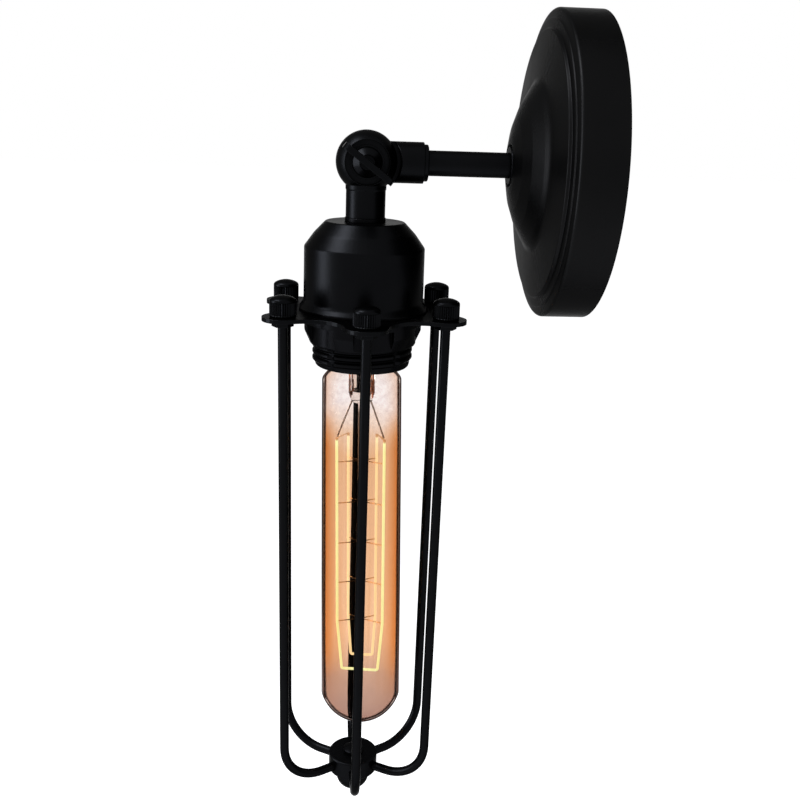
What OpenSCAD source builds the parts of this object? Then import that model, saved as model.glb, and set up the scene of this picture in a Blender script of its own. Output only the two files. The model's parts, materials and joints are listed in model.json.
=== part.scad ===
// Cage wall light: a domed wall plate, a threaded arm, a thumb-screw knuckle and a hanging
// lampholder that carries a six-rod cage round a tubular filament bulb.
// The origin is the centre of the plate's back, on the wall. +Z is up and the light
// stands out from the wall along -Y, so a "depth" below is a distance from the wall.

/* [Wall plate] */
// Outside diameter of the plate
plate_d = 120; // [110:1:150]
// Depth of the straight rim, from the wall to its rounded edge
rim_depth = 17.4; // [15:0.2:24]
// Thickness of the pressed sheet
plate_wall = 1.2; // [0.8:0.1:1.6]
// Radius of the rim's rounded edge
rim_edge_r = 1.4; // [1.3:0.1:2.5]
// Width of the outer ring line next to the rim
band_w = 3.7; // [3:0.1:5]
// Height of each of the two small steps up to the plateau
step_h = 0.8; // [0.5:0.1:1.1]
// Diameter of the raised plateau
plateau_d = 104.4; // [98:0.2:108]
// Rise of the plateau from its edge to the foot of the dome
plateau_rise = 1.8; // [0.5:0.1:3]
// Diameter of the foot of the dome
dome_d = 67; // [60:1:76]
// Radius of the hollow where the dome leaves the plateau
dome_foot_r = 5; // [2:0.5:8]
// Height of the dome above its foot
dome_h = 9.6; // [7:0.2:14]
// Width of the dished seat at the middle of the dome
dish_d = 17; // [16.2:0.2:22]
// Depth of that seat below the dome's crest
dish_depth = 1.6; // [1:0.1:2.4]

/* [Wall bracket] */
// Width of the flat strap
strap_w = 24; // [20:1:34]
// Thickness of the strap
strap_t = 2; // [1.5:0.1:3]
// Distance between the two wall screw slots
slot_spacing = 80; // [78:1:84]
// Width of a wall screw slot
slot_w = 5.2; // [4:0.1:6.5]
// Length of a wall screw slot, end to end
slot_len = 14; // [10:0.5:16]
// Diameter of the supply cable's hole
cable_hole_d = 15; // [10:0.5:16]
// Height of that hole above the middle of the strap
cable_hole_z = 22; // [21:0.5:22.5]
// Reach of the strap's end tabs from the wall
tab_reach = 14; // [12.6:0.2:14.8]
// Depth of the two rim screws from the wall
rim_screw_depth = 8; // [7:0.2:9]
// Diameter of the rim screws and of the earth screw
small_screw_d = 4; // [3:0.1:4.4]

/* [Arm] */
// Distance from the wall to the knuckle's pivot
reach = 88.7; // [80:0.5:130]
// Outside diameter of the threaded arm and of the head's nipple
arm_d = 10; // [9:0.1:11]
// Bore of the threaded arm and of the nipple
arm_bore_d = 7.5; // [7.2:0.1:7.8]
// Length of the arm behind the plate
arm_tail = 10; // [8:0.5:11]
// Diameter of the washer on the face of the dome
arm_washer_d = 14.8; // [13.5:0.1:15.6]
// Thickness of the washer on the face of the dome
arm_washer_t = 1.8; // [1:0.1:2.5]
// Width of the thin nuts across their flats
nut_af = 14; // [13:0.5:16]
// Height of the thin nuts
nut_h = 3; // [2.5:0.1:3.6]
// Thickness of the lock washer behind the plate
lock_washer_t = 1; // [0.6:0.1:1.4]

/* [Knuckle] */
// Diameter of the ball
ball_d = 24.5; // [23:0.5:26]
// Diameter of the collar on the wall side
collar_d = 16.2; // [15:0.2:17]
// Distance from the pivot to the collar's end
collar_len = 24.4; // [23:0.2:30]
// Width of the turned bead at the collar's end
bead_w = 1.7; // [1:0.1:2.5]
// Diameter of the neck above the holder
neck_d = 15.9; // [15:0.1:16.8]
// Distance from the pivot to the neck's end
neck_len = 22; // [21:0.2:28]
// Radius that each stem is cut back to, so that the other half can swing
swing_r = 13.7; // [13.5:0.1:14.4]
// Gap between the two halves, filled by the friction washer
seam = 0.7; // [0.5:0.1:1.2]
// Diameter of the hollow that the wires cross
hollow_d = 16.4; // [15.6:0.2:17]
// Depth of that hollow in each half
hollow_depth = 3.8; // [3.8:0.1:4.2]
// Diameter of the boss round the screw
boss_d = 8; // [7.2:0.1:8.4]
// Diameter of the recess under the thumb screw
recess_d = 17.6; // [15:0.2:18]
// Thickness of the web between the hollow and the recess
web_t = 1.8; // [1.5:0.1:2]

/* [Thumb screw] */
// Diameter of the screw that clamps the knuckle
clamp_screw_d = 5; // [4:0.1:5.4]
// Diameter of the washer under the thumb screw
thumb_washer_d = 13.4; // [12.8:0.2:14.4]
// Thickness of the washer under the thumb screw
thumb_washer_t = 1; // [0.6:0.1:1.4]
// Width of the flat wing
wing_w = 23.2; // [18:0.2:24]
// Length of the flat wing along the screw
wing_len = 15; // [13:0.5:20]
// Thickness of the wing
wing_t = 2.4; // [2:0.1:3]
// Slope of the wing at rest, down towards the wall
wing_slope = 37; // [0:1:90]
// Width of the captive nut across its flats
clamp_nut_af = 8; // [7.6:0.1:8.4]
// Height of the captive nut
clamp_nut_h = 4; // [3:0.1:4.4]

/* [Holder cup] */
// Thickness of the dark washer between the neck and the cup
neck_washer_t = 1.5; // [1:0.1:2.5]
// Height of the cup
cup_h = 35.8; // [35:0.2:44]
// Diameter of the cup's flat top
cup_top_d = 32; // [26:0.2:36]
// Diameter of the cup's side
cup_d = 49.2; // [48:0.2:54]
// Height of the sloped shoulder
shoulder_h = 10.2; // [7:0.2:11.4]
// Swell of the shoulder beyond a straight slope
shoulder_swell = 0.3; // [0.2:0.1:1.6]
// Width of the flared lip beyond the cup's side
lip_w = 1.8; // [1:0.1:3]
// Height of the flared lip
lip_h = 3.4; // [2.6:0.1:4.4]
// Wall of the cup
cup_wall = 1; // [0.8:0.1:1.4]

/* [Lampholder] */
// Diameter over the thread of the holder's skirt
thread_d = 41.6; // [40:0.2:43]
// Depth of the thread on the skirt
thread_depth = 1; // [0.6:0.1:1.2]
// Pitch of the thread on the skirt
thread_pitch = 2.8; // [2.4:0.1:3.2]
// Length of the skirt below the cup
skirt_len = 23.2; // [20:0.2:24.8]
// Bore of the skirt's mouth
mouth_d = 30.6; // [30:0.2:34]
// Outside diameter of the holder's dome
dome_cap_d = 41.6; // [40.2:0.2:43]
// Wall of the holder's moulded parts
moulded_wall = 1.6; // [1.2:0.1:1.8]
// Inside diameter of the brass screw shell
shell_d = 26.4; // [26:0.1:27.2]
// Wall of the brass screw shell
shell_wall = 0.6; // [0.4:0.1:0.8]

/* [Shade ring] */
// Outside diameter of the ring
shade_ring_d = 48.4; // [46:0.2:54]
// Height of the ring
shade_ring_h = 12.4; // [9:0.2:14]
// Height of the plain band above its finger grips
ring_band_h = 3.6; // [2.4:0.2:5]
// Height of the ring down to where it tapers
ring_side_h = 7; // [5.6:0.2:8.4]
// Depth of the finger grips
grip_depth = 2.1; // [1:0.1:2.3]
// Width of each finger grip as an angle
grip_angle = 40; // [20:1:48]
// Turn of the grips from the front rod
grip_turn = 9; // [0:1:59]

/* [Cage] */
// Diameter of the circle that the rods pass the cage plate on
rod_circle_d = 74.6; // [70:0.2:84]
// Thickness of the cage plate
cage_plate_t = 1.6; // [1:0.1:2.5]
// Radius of the lugs round the rods
lug_r = 8.3; // [7:0.1:8.8]
// Radius from the centre to the hollow between two lugs
hollow_r = 30.5; // [28:0.2:31.6]
// Diameter of the rods
rod_d = 4; // [3:0.1:4.6]
// Distance from the cage plate's top down to the middle of the rods' feet
cage_depth = 216; // [205:1:260]
// Lean of the rods towards the middle, in degrees
rod_lean = 0.3; // [0:0.05:1]
// Radius of the bend to the middle of the rod
rod_bend_r = 19.2; // [12:0.2:22]
// Diameter of the round cap nuts
cap_nut_d = 10.6; // [9.6:0.2:12]
// Height of the cap nuts
cap_nut_h = 8.5; // [8:0.1:12]
// Height of the domed top of a cap nut
cap_dome_h = 1.9; // [1:0.1:2.2]
// Width of the hexagon nuts across their flats
hex_nut_af = 7.6; // [7:0.1:9]
// Height of the hexagon nuts
hex_nut_h = 2.3; // [1.6:0.1:3.2]

/* [Hub] */
// Diameter of the hub that gathers the rods
hub_d = 22.5; // [20:0.5:26]
// Height of the hub
hub_h = 8.4; // [7:0.2:12]
// Height of the hub above the middle of the rods
hub_over = 4.7; // [3.4:0.1:5]
// Diameter of the screw through the hub
hub_screw_d = 5; // [4:0.1:5.4]
// Diameter of the round finial nut
finial_d = 15.4; // [13:0.2:17]

/* [Bulb] */
// Diameter of the glass tube
bulb_d = 36; // [31:0.5:38]
// How much narrower the glass is at its top, on its radius
bulb_taper = 1; // [0:0.1:1.5]
// Distance from the cage plate's top down to the glass tip
bulb_reach = 192.4; // [170:0.2:196]
// Wall of the glass
glass_wall = 0.9; // [0.6:0.1:1.2]
// Radius of the rounded glass end
glass_end_r = 19.8; // [19.4:0.2:24]
// Half width of the front filament loop
filament_half_w = 10.2; // [7:0.1:11.6]
// Half width of the rear filament loop
filament_rear_half_w = 6.2; // [5:0.1:9]
// Distance of each filament loop from the middle plane
filament_offset = 3.6; // [2.8:0.1:5]
// Diameter of the filament
filament_d = 1.2; // [0.6:0.1:1.6]
// Turn of the filament and its leads about the middle of the bulb
filament_turn = -9; // [-20:1:20]
// Lean of the glass towards the wall, as it is cemented in its cap
bulb_lean = 1; // [0:0.5:1]
// Diameter of the support and lead wires inside the bulb
support_d = 0.7; // [0.5:0.05:1]

/* [Wiring] */
// Diameter of an insulated wire
wire_d = 1.9; // [1.6:0.1:2]
// Length of the terminal block across its ways
block_w = 28; // [24:1:34]
// Width of the terminal block
block_h = 15; // [12:0.5:15.6]
// Depth of the terminal block from the strap
block_t = 12; // [10:0.5:13]
// Distance between the block's ways
block_pitch = 9; // [8:0.5:10]

/* [Fits] */
// Radial gap of a thread or a pin in its hole
thread_fit = 0.05; // [0.03:0.01:0.1]
// Radial gap of a plain clearance hole
hole_fit = 0.15; // [0.1:0.05:0.3]
// Gap between two faces that slide on each other
face_gap = 0.05; // [0.03:0.01:0.1]
// Radial gap of the bulb and the shade ring on their threads
screw_gap = 0.08; // [0.04:0.01:0.1]

/* [Hidden] */

$fn = 96;
cut = 1;              // how far a cutter runs past the face that it opens
arc_step = 9;         // degrees between the points of a rounded corner
rods = 6;
wire_fn = 16;
rod_angle = 360 / rods;
fine_r = 0.3;         // smallest radius on turned and pressed edges
soft_r = 0.5;         // radius on turned and moulded edges
chamfer = 1;

// Colours
satin_black = [0.09, 0.09, 0.1];
plate_black = [0.12, 0.115, 0.11];
moulded_black = [0.06, 0.06, 0.065];
zinc = [0.7, 0.71, 0.72];
brass = [0.78, 0.62, 0.3];
porcelain = [0.93, 0.92, 0.88];
amber = [0.95, 0.6, 0.3, 0.4];
clear_glass = [0.9, 0.9, 0.85, 0.6];
hot_wire = [1, 0.85, 0.45];
wire_brown = [0.35, 0.18, 0.08];
wire_blue = [0.1, 0.25, 0.6];
wire_green = [0.3, 0.55, 0.15];

// Wall plate, as depths from the wall
plate_r = plate_d / 2;
plateau_r = plateau_d / 2;
dome_r = dome_d / 2;
dish_r = dish_d / 2;
dish_slope_w = 0.7;
step_lean = 0.2;
plateau_lip = 0.4;
dome_swell_r = 50;
band_depth = rim_depth + step_h;
plateau_depth = band_depth + 2 * step_h + plateau_lip;
dome_foot_depth = plateau_depth + plateau_rise;
crest_depth = dome_foot_depth + dome_h;
seat_depth = crest_depth - dish_depth;
knee_r = dish_r + (dome_r - dish_r) * 0.53;
knee_depth = dome_foot_depth + dome_h * 0.79;
arm_hole_r = arm_d / 2 + hole_fit;
inner_wall_r = plate_r - plate_wall;
inner_plateau_r = plateau_r - plate_wall;

// Rim screws, their bosses inside the rim, and the bracket's tabs
small_screw_r = small_screw_d / 2;
boss_r = small_screw_r + 2;
boss_h = 3.4;
tab_gap = 0.9;
tab_face = inner_wall_r - boss_h - tab_gap;
point_in_tab = 1;
rim_screw_start = tab_face - strap_t + point_in_tab;
rim_screw_sunk = 0.1;
driver_slot_w = 0.8;
driver_slot_h = 1.1;

// Screws on the bracket
earth_z = 7;
earth_washer_t = 0.8;
earth_washer_r = small_screw_d + 0.8;
earth_tag_t = 0.8;
earth_tag_r = small_screw_d + 0.6;
earth_stack = strap_t + earth_washer_t + earth_tag_t;
earth_head_r = small_screw_d * 0.9;
screw_head_h = 2.4;
block_screw_r = 1.3;
block_head_r = 2.5;
block_head_h = 1.4;
block_screw_sink = 2;

// Arm, as depths from the wall
arm_r = arm_d / 2;
arm_bore_r = arm_bore_d / 2;
thread_hole_r = arm_r + thread_fit;
arm_start = seat_depth - plate_wall - arm_tail;
lock_washer_r = nut_af / 2 + 0.6;
lock_washer_depth = seat_depth - plate_wall - lock_washer_t;
collar_start = reach - collar_len;
collar_thread = 9.5;
thread_relief = 0.5;
arm_end = collar_start + collar_thread - thread_relief;
bead_groove = 0.9;

// Knuckle, from the pivot
ball_r = ball_d / 2;
collar_r = collar_d / 2;
neck_r = neck_d / 2;
clamp_r = clamp_screw_d / 2;
hollow_end = seam / 2 + hollow_depth;
recess_floor = hollow_end + web_t;
neck_thread = 7.5;
neck_root_r = neck_r + 0.25;
neck_root_h = ball_r - 1.6;
neck_start = ball_r - 1;
bore_stop = boss_d / 2 + 1;
bore_wall = 1.5;
bore_side = 0.6;

// Thumb screw, from the pivot along +X
washer_face = recess_floor + thumb_washer_t;
rim_x = sqrt(ball_r * ball_r - recess_d * recess_d / 4);
wing_gap = 0.9;
wing_start = max(rim_x, washer_face) + wing_gap;
wing_foot_r = 4.2;
wing_foot_round = 1.5;
wing_corner_r = 3.4;
wing_root_r = 6;
wing_root_tip_r = 2.8;
wing_root_edge = 1.2;
wing_root_in = 2.4;
wing_root_h = wing_start - washer_face + wing_root_in;
nut_seat = recess_floor;
clamp_tip = nut_seat + clamp_nut_h + 0.8;

// Head, as heights from the pivot
cup_top = -neck_len - neck_washer_t;
seat_z = cup_top - cup_h;
cage_under = seat_z - cage_plate_t;
cup_r = cup_d / 2;
cup_inner_r = cup_r - cup_wall;
lip_r = cup_r + lip_w;
lip_edge_h = 1.1;
lip_turn = 1.4 * cup_wall;
cup_top_r = cup_top_d / 2;
shoulder_r = cup_r - 0.1;
shoulder_foot = cup_top - shoulder_h;
shoulder_mid_r = (cup_top_r + cup_r) / 2 + shoulder_swell;
shoulder_mid_z = cup_top - shoulder_h / 2 + shoulder_swell;
nipple_top = -neck_len + neck_thread - thread_relief;
neck_washer_r = neck_r + 0.3;
nipple_nut_z = cup_top - cup_wall - nut_h;

// Lampholder, as heights from the pivot
cap_top = nipple_nut_z;
cap_boss_r = arm_r + 2.6;
cap_boss_h = 6;
cap_roof = cap_top - cap_boss_h - moulded_wall / 2;
nipple_end = cap_top - cap_boss_h + 0.4;
cap_r = dome_cap_d / 2;
cap_inner_r = cap_r - moulded_wall;
cap_dome_end = cap_top - cap_boss_h - 6;
flange_h = 3;
flange_r = cup_inner_r - 0.5;
cap_end = seat_z + flange_h;
thread_r = thread_d / 2;
root_r = thread_r - thread_depth;
skirt_tube_r = cap_inner_r - hole_fit;
skirt_top = cap_end + 8;
skirt_end = seat_z - skirt_len;
skirt_plain_end = 1.6;
mouth_r = mouth_d / 2;
shell_r = shell_d / 2;
shell_out_r = shell_r + shell_wall;
shell_flare = 0.4;
insert_bore_r = skirt_tube_r - moulded_wall;
insert_r = insert_bore_r - hole_fit;
insert_end = cap_end + 0.6;
insert_foot = insert_end - 1.4;
insert_h = 9.4;
insert_top = insert_end + insert_h;
insert_rim_h = 2;
rivet_r = 1.5;
rivet_hole_r = 1.6;
contact_z = insert_end - 1.4;
leaf_w = 6;
leaf_t = 0.5;
leaf_back = 1.6;
leaf_front = 3;
shell_end = skirt_end + 2;

// Clamps on the insert
clamp_y = 9.5;
clamp_len = 8;
clamp_w = 6;
clamp_sunk = 4;
clamp_over = 2.4;
clamp_top = insert_top + clamp_over;
clamp_base = insert_top - clamp_sunk;
clamp_room = 0.1;
clamp_screw_head_r = 1.1;
clamp_screw_head_h = 1.2;
clamp_screw_z = insert_top + clamp_screw_head_r + clamp_room;

// The ridges of the skirt's thread, as plain rings
ridge_start = seat_z - 1.4;
ridges = floor((skirt_len - skirt_plain_end - 1.6) / thread_pitch);
ridge_points = [for (i = [0:ridges - 1])
    let (z = ridge_start - i * thread_pitch)
    each [[root_r, z], [thread_r, z - thread_pitch * 0.36], [thread_r, z - thread_pitch * 0.52],
          [root_r, z - thread_pitch * 0.88]]];

// Shade ring
shade_ring_r = shade_ring_d / 2;
ring_bore_r = thread_r + screw_gap;
ring_foot_r = ring_bore_r + 0.9;
ring_foot_round = 2.5;
grip_r = shade_ring_r - grip_depth;
grip_half_w = 2 * shade_ring_r * tan(grip_angle / 2);

// Cage: the hollow between two lugs is a circle that touches both
rod_r = rod_d / 2;
circle_r = rod_circle_d / 2;
half_turn = rod_angle / 2;
scallop_r = (lug_r * lug_r - hollow_r * hollow_r - circle_r * circle_r
    + 2 * hollow_r * circle_r * cos(half_turn)) / (2 * (hollow_r - circle_r * cos(half_turn) - lug_r));
scallop_c = hollow_r + scallop_r;
scallop_at = scallop_c * [cos(half_turn), sin(half_turn)];
touch = atan2(scallop_at[1], scallop_at[0] - circle_r);
cap_nut_r = cap_nut_d / 2;
cap_roof_t = 1.6;
cap_hole_h = cap_nut_h - cap_dome_h - cap_roof_t;
cap_shoulder_h = 0.2;
rod_top = seat_z + cap_hole_h - 0.3;
hex_nut_fit = 0.15;
rod_z = seat_z - cage_depth;
straight_end = rod_z + rod_bend_r * (1 - sin(rod_lean));
straight_len = (seat_z - straight_end) / cos(rod_lean);
bend_c = circle_r - straight_len * sin(rod_lean) - rod_bend_r * cos(rod_lean);

// Hub
hub_r = hub_d / 2;
hub_top = rod_z + hub_over;
hub_under = hub_top - hub_h;
hub_edge_r = 0.8;
socket_r = hub_r / 2 + 0.4;
socket_room = 0.3;
hub_bolt_r = hub_screw_d / 2;
bolt_head_r = hub_bolt_r * 1.8;
bolt_head_h = 2.6;
bolt_slot_w = 1;
finial_r = finial_d / 2;
finial_c = hub_under - finial_r * 0.42;
finial_bore_end = hub_under - finial_r;
bolt_end = finial_bore_end + 0.6;

// Bulb
bulb_r = bulb_d / 2;
cap_thread_r = shell_r - screw_gap;
cap_sheet = 0.5;
bulb_tip = seat_z - bulb_reach;
end_c = bulb_tip + glass_end_r;
end_corner = end_c - sqrt(glass_end_r * glass_end_r - bulb_r * bulb_r);
bulb_contact_end = contact_z - face_gap;
bulb_contact_r = 4.4;
bulb_contact_h = 1.3;
insulator_r = 9.5;
insulator_fit = 0.1;
insulator_top = bulb_contact_end - bulb_contact_h;
insulator_h = 3;
cap_shell_top = insulator_top - insulator_h;
cap_cone_h = 1.4;
cap_shell_end = skirt_end - 0.6;
glass_neck_r = cap_thread_r - cap_sheet - thread_fit;
glass_inner_r = bulb_r - glass_wall;
glass_inner_end_r = glass_end_r - glass_wall;
glass_neck_inner_r = glass_neck_r - glass_wall;
glass_top = cap_shell_end + 3;
shoulder_z = cap_shell_end - 5.2;
flare_drop = 0.9;             // from the cap's mouth down to where the glass widens
lean_z = (cap_shell_end + glass_top) / 2;
stem_r = 5.6;
stem_wall = 1.2;
stem_flare_h = 4.5;
stem_press_h = 5;
stem_end = cap_shell_end - 16;
rod_core_r = 1.5;
lead_drop = 15.6;
filament_r = filament_d / 2;
filament_top = stem_end - lead_drop;
filament_end = bulb_tip + 26.4;
filament_knee = filament_end + 23.8;
filament_foot = 0.8;         // share of the half width that the loop keeps at its foot
rear_lift = 3.4;
front_top = [filament_offset, filament_half_w, filament_top];
rear_top = [-filament_offset, filament_rear_half_w, filament_top];
lead_r = support_d / 2;
lead_foot = [0.6, stem_r - 1.6, stem_end + 0.4];
lead_end = front_top + unit(lead_foot - front_top) * (filament_r + thread_fit);
support_r = support_d / 3;
support_levels = 5;
support_top = filament_top - 11;
support_at = [for (i = [0:support_levels - 1])
    support_top - (support_top - filament_knee) * i / (support_levels - 1)];

// Wiring
wire_r = wire_d / 2;
wire_hole_r = wire_r + thread_fit;
wire_x = wire_r + 1.05;      // the wires pass the knuckle on one side of its seam
wire_gap = wire_r + 0.1;
loop_end = 5.4;
block_z = -block_h / 2 - 8;
block_face = strap_t + block_t;
wire_depth = strap_t + block_t / 2;
way_r = 2.2;
way_screw_r = 1.4;
way_screw_h = block_t / 2 - 0.8;
tube_inset = 1;
tube_end = block_h / 2 - tube_inset;
wire_grip = 3;
wire_start = block_z + tube_end - wire_grip;
wire_bend = block_z + block_h / 2;
earth_wire_r = wire_r * 0.8;

function flat(p) = [p[0], p[1]];
function unit(v) = v / norm(v);
function turned_by(v, a) = [v[0] * cos(a) - v[1] * sin(a), v[0] * sin(a) + v[1] * cos(a)];

// One corner [x, y, radius] of an outline, as the points of its round
function corner(before, p, after) =
    let (
        a = unit(flat(before) - flat(p)),
        b = unit(flat(after) - flat(p)),
        half = acos(a * b) / 2,
        centre = flat(p) + unit(a + b) * p[2] / sin(half),
        start = flat(p) + a * p[2] / tan(half) - centre,
        end = flat(p) + b * p[2] / tan(half) - centre,
        way = sign(start[0] * end[1] - start[1] * end[0]),
        turn = 180 - 2 * half,
        steps = max(2, ceil(turn / arc_step))
    )
    [for (i = [0:steps]) centre + turned_by(start, way * turn * i / steps)];

// An outline whose inner corners are rounded by their third number
function rounded(c) = [for (i = [0:len(c) - 1])
    each (i == 0 || i == len(c) - 1 || c[i][2] == 0) ? [flat(c[i])]
        : corner(c[i - 1], c[i], c[i + 1])];

function arc(centre, r, from, to, steps) = [for (i = [0:steps])
    let (a = from + (to - from) * i / steps) centre + r * [cos(a), sin(a)]];

// Points of a cubic curve between p0 and p3
function curve(p0, p1, p2, p3, steps) = [for (i = [0:steps]) let (t = i / steps, u = 1 - t)
    u * u * u * p0 + 3 * u * u * t * p1 + 3 * u * t * t * p2 + t * t * t * p3];

// Stands its children out from the wall: their Z axis becomes the depth
module out_from_wall(depth = 0) translate([0, -depth, 0]) rotate([90, 0, 0]) children();

module at_pivot() translate([0, -reach, 0]) children();

// Turns its children's Z axis to X
module across(x = 0) translate([x, 0, 0]) rotate([0, 90, 0]) children();

module both_ends() for (turn = [0, 180]) rotate([0, turn, 0]) children();

module round_the_cage() for (i = [0:rods - 1]) rotate(i * rod_angle) children();

module turned(points) rotate_extrude() polygon(points);

module ring(r, hole_r, h) difference() {
    cylinder(r = r, h = h);
    translate([0, 0, -cut]) cylinder(r = hole_r, h = h + 2 * cut);
}

module hexagon(af, h) cylinder(r = af / 2 / cos(30), h = h, $fn = 6);

module hex_nut(af, hole_r, h) difference() {
    hexagon(af, h);
    translate([0, 0, -cut]) cylinder(r = hole_r, h = h + 2 * cut);
}

module slot_hole(length, width, h) {
    for (side = [-1, 1]) translate([0, side * (length - width) / 2, 0]) cylinder(d = width, h = h);
    translate([-width / 2, -(length - width) / 2, 0]) cube([width, length - width, h]);
}

module pan_head(r, h) intersection() {
    cylinder(r = r, h = h);
    translate([0, 0, h - 2 * r]) sphere(r = 2 * r);
}

// A straight round wire from a to b
module strand(a, b, r) {
    d = b - a;
    translate(a) rotate([0, acos(d[2] / norm(d)), atan2(d[1], d[0])])
        cylinder(r = r, h = norm(d), $fn = wire_fn);
}

// A bent wire of eight sides along a path that never runs along X
module bent_wire(path, r) {
    sides = 8;
    last = len(path) - 1;
    rings = [for (i = [0:last])
        let (
            t = unit(path[min(i + 1, last)] - path[max(i - 1, 0)]),
            u = unit(cross(t, [1, 0, 0])),
            v = cross(u, t)
        )
        each [for (s = [0:sides - 1]) path[i] + r * (u * cos(s * 360 / sides) + v * sin(s * 360 / sides))]];
    walls = [for (i = [0:last - 1], s = [0:sides - 1])
        let (a = i * sides + s, b = i * sides + (s + 1) % sides)
        each [[a, b, b + sides], [a, b + sides, a + sides]]];
    start_face = [for (s = [sides - 1:-1:0]) s];
    end_face = [for (s = [0:sides - 1]) last * sides + s];
    polyhedron(points = rings, faces = concat([start_face], walls, [end_face]), convexity = 6);
}

// The pressed plate's profile, outside from the rim to the arm's hole and back inside
plate_outside = rounded([
    [plate_r, 0, 0],
    [plate_r, rim_depth, rim_edge_r],
    [plate_r - band_w, band_depth, 0],
    [plate_r - band_w - step_lean, band_depth + step_h / 2, 0],
    [plateau_r + soft_r, band_depth + step_h, fine_r],
    [plateau_r, plateau_depth, soft_r],
    [dome_r, dome_foot_depth, dome_foot_r],
    [knee_r, knee_depth, dome_swell_r],
    [dish_r, crest_depth, dish_slope_w],
    [dish_r - dish_slope_w, seat_depth, fine_r],
    [arm_hole_r, seat_depth, 0]
]);
plate_inside = rounded([
    [arm_hole_r, seat_depth - plate_wall, 0],
    [dish_r + fine_r, seat_depth - plate_wall, fine_r],
    [dish_r + fine_r + soft_r, crest_depth - plate_wall - step_lean, soft_r],
    [knee_r, knee_depth - plate_wall, dome_swell_r],
    [dome_r, dome_foot_depth - plate_wall, dome_foot_r],
    [inner_plateau_r, plateau_depth - plate_wall, soft_r + fine_r],
    [inner_plateau_r, band_depth - plate_wall, fine_r],
    [inner_wall_r, rim_depth - plate_wall, rim_edge_r - fine_r],
    [inner_wall_r, 0, 0]
]);

module wall_plate() color(plate_black) difference() {
    union() {
        out_from_wall() turned(concat(plate_outside, plate_inside));
        both_ends() translate([0, -rim_screw_depth, inner_wall_r - boss_h])
            cylinder(r = boss_r, h = boss_h + plate_wall / 2);
    }
    translate([0, -rim_screw_depth, -plate_r - cut])
        cylinder(r = small_screw_r + thread_fit, h = 2 * (plate_r + cut));
}

module wall_bracket() color(zinc) difference() {
    union() {
        translate([-strap_w / 2, -strap_t, -tab_face]) cube([strap_w, strap_t, 2 * tab_face]);
        both_ends() translate([-strap_w / 4, -tab_reach, tab_face - strap_t])
            cube([strap_w / 2, tab_reach, strap_t]);
    }
    out_from_wall(-cut) {
        translate([0, cable_hole_z, 0]) cylinder(d = cable_hole_d, h = strap_t + 2 * cut);
        for (side = [-1, 1]) translate([0, side * slot_spacing / 2, 0])
            slot_hole(slot_len, slot_w, strap_t + 2 * cut);
        translate([0, earth_z, 0]) cylinder(r = small_screw_r + thread_fit, h = strap_t + 2 * cut);
        translate([block_pitch / 2, block_z, 0])
            cylinder(r = block_screw_r + thread_fit, h = strap_t + 2 * cut);
    }
    translate([0, -rim_screw_depth, -tab_face - cut])
        cylinder(r = small_screw_r + hole_fit, h = 2 * (tab_face + cut));
}

// Slotted headless screws, flush with the rim, whose points sit in the bracket's tabs
module rim_screws() color(satin_black) both_ends() translate([0, -rim_screw_depth, 0]) difference() {
    translate([0, 0, rim_screw_start])
        cylinder(r = small_screw_r, h = plate_r - rim_screw_sunk - rim_screw_start);
    translate([-small_screw_d, -driver_slot_w / 2, plate_r - driver_slot_h])
        cube([2 * small_screw_d, driver_slot_w, driver_slot_h]);
}

module earth_screw() color(brass) translate([0, 0, earth_z]) {
    out_from_wall() cylinder(r = small_screw_r, h = earth_stack);
    out_from_wall(earth_stack) pan_head(earth_head_r, screw_head_h);
}

module earth_washer() color(zinc) translate([0, 0, earth_z])
    out_from_wall(strap_t) ring(earth_washer_r, small_screw_r + hole_fit, earth_washer_t);

// A block of three ways, with two screw holes to each and one hole for its own screw
module terminal_block() color(porcelain) translate([0, 0, block_z]) difference() {
    translate([-block_w / 2, -block_face, -block_h / 2]) cube([block_w, block_t, block_h]);
    for (i = [-1:1]) translate([i * block_pitch, -wire_depth, -block_h / 2 - cut])
        cylinder(r = way_r + hole_fit, h = block_h + 2 * cut);
    for (i = [-1:1], side = [-1, 1])
        translate([i * block_pitch, 0, side * block_h / 4]) out_from_wall(wire_depth)
            cylinder(r = way_screw_r + hole_fit, h = block_t);
    translate([block_pitch / 2, 0, 0]) {
        out_from_wall(strap_t - cut) cylinder(r = block_screw_r + hole_fit, h = block_t + 2 * cut);
        out_from_wall(block_face - block_screw_sink)
            cylinder(r = block_head_r + hole_fit, h = block_screw_sink + cut);
    }
}

// A brass tube with two clamp screws for each way of the block
module terminal_tubes() color(brass) translate([0, 0, block_z])
    for (i = [-1:1]) translate([i * block_pitch, -wire_depth, 0]) difference() {
        union() {
            translate([0, 0, -tube_end]) cylinder(r = way_r, h = 2 * tube_end);
            for (side = [-1, 1]) translate([0, 0, side * block_h / 4]) out_from_wall()
                cylinder(r = way_screw_r, h = way_screw_h);
        }
        translate([0, 0, tube_end - wire_grip]) cylinder(r = wire_hole_r, h = wire_grip + cut);
    }

module block_screw() color(zinc) translate([block_pitch / 2, 0, block_z]) {
    out_from_wall() cylinder(r = block_screw_r, h = block_face - block_screw_sink);
    out_from_wall(block_face - block_screw_sink) pan_head(block_head_r, block_head_h);
}

// The earth wire leaves the middle way and ends in a ring tag under the earth screw
module earth_wire() color(wire_green) {
    tag_depth = strap_t + earth_washer_t;
    tag_z = earth_z - earth_tag_r;
    bent_wire(concat([[0, -wire_depth, wire_start]], curve([0, -wire_depth, wire_bend],
        [0, -wire_depth, wire_bend + 3], [0, -tag_depth - 3, tag_z - 3],
        [0, -tag_depth - earth_tag_t / 2, tag_z + fine_r], 10)), earth_wire_r);
    translate([0, 0, earth_z]) out_from_wall(tag_depth)
        ring(earth_tag_r, small_screw_r + hole_fit, earth_tag_t);
}

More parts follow.
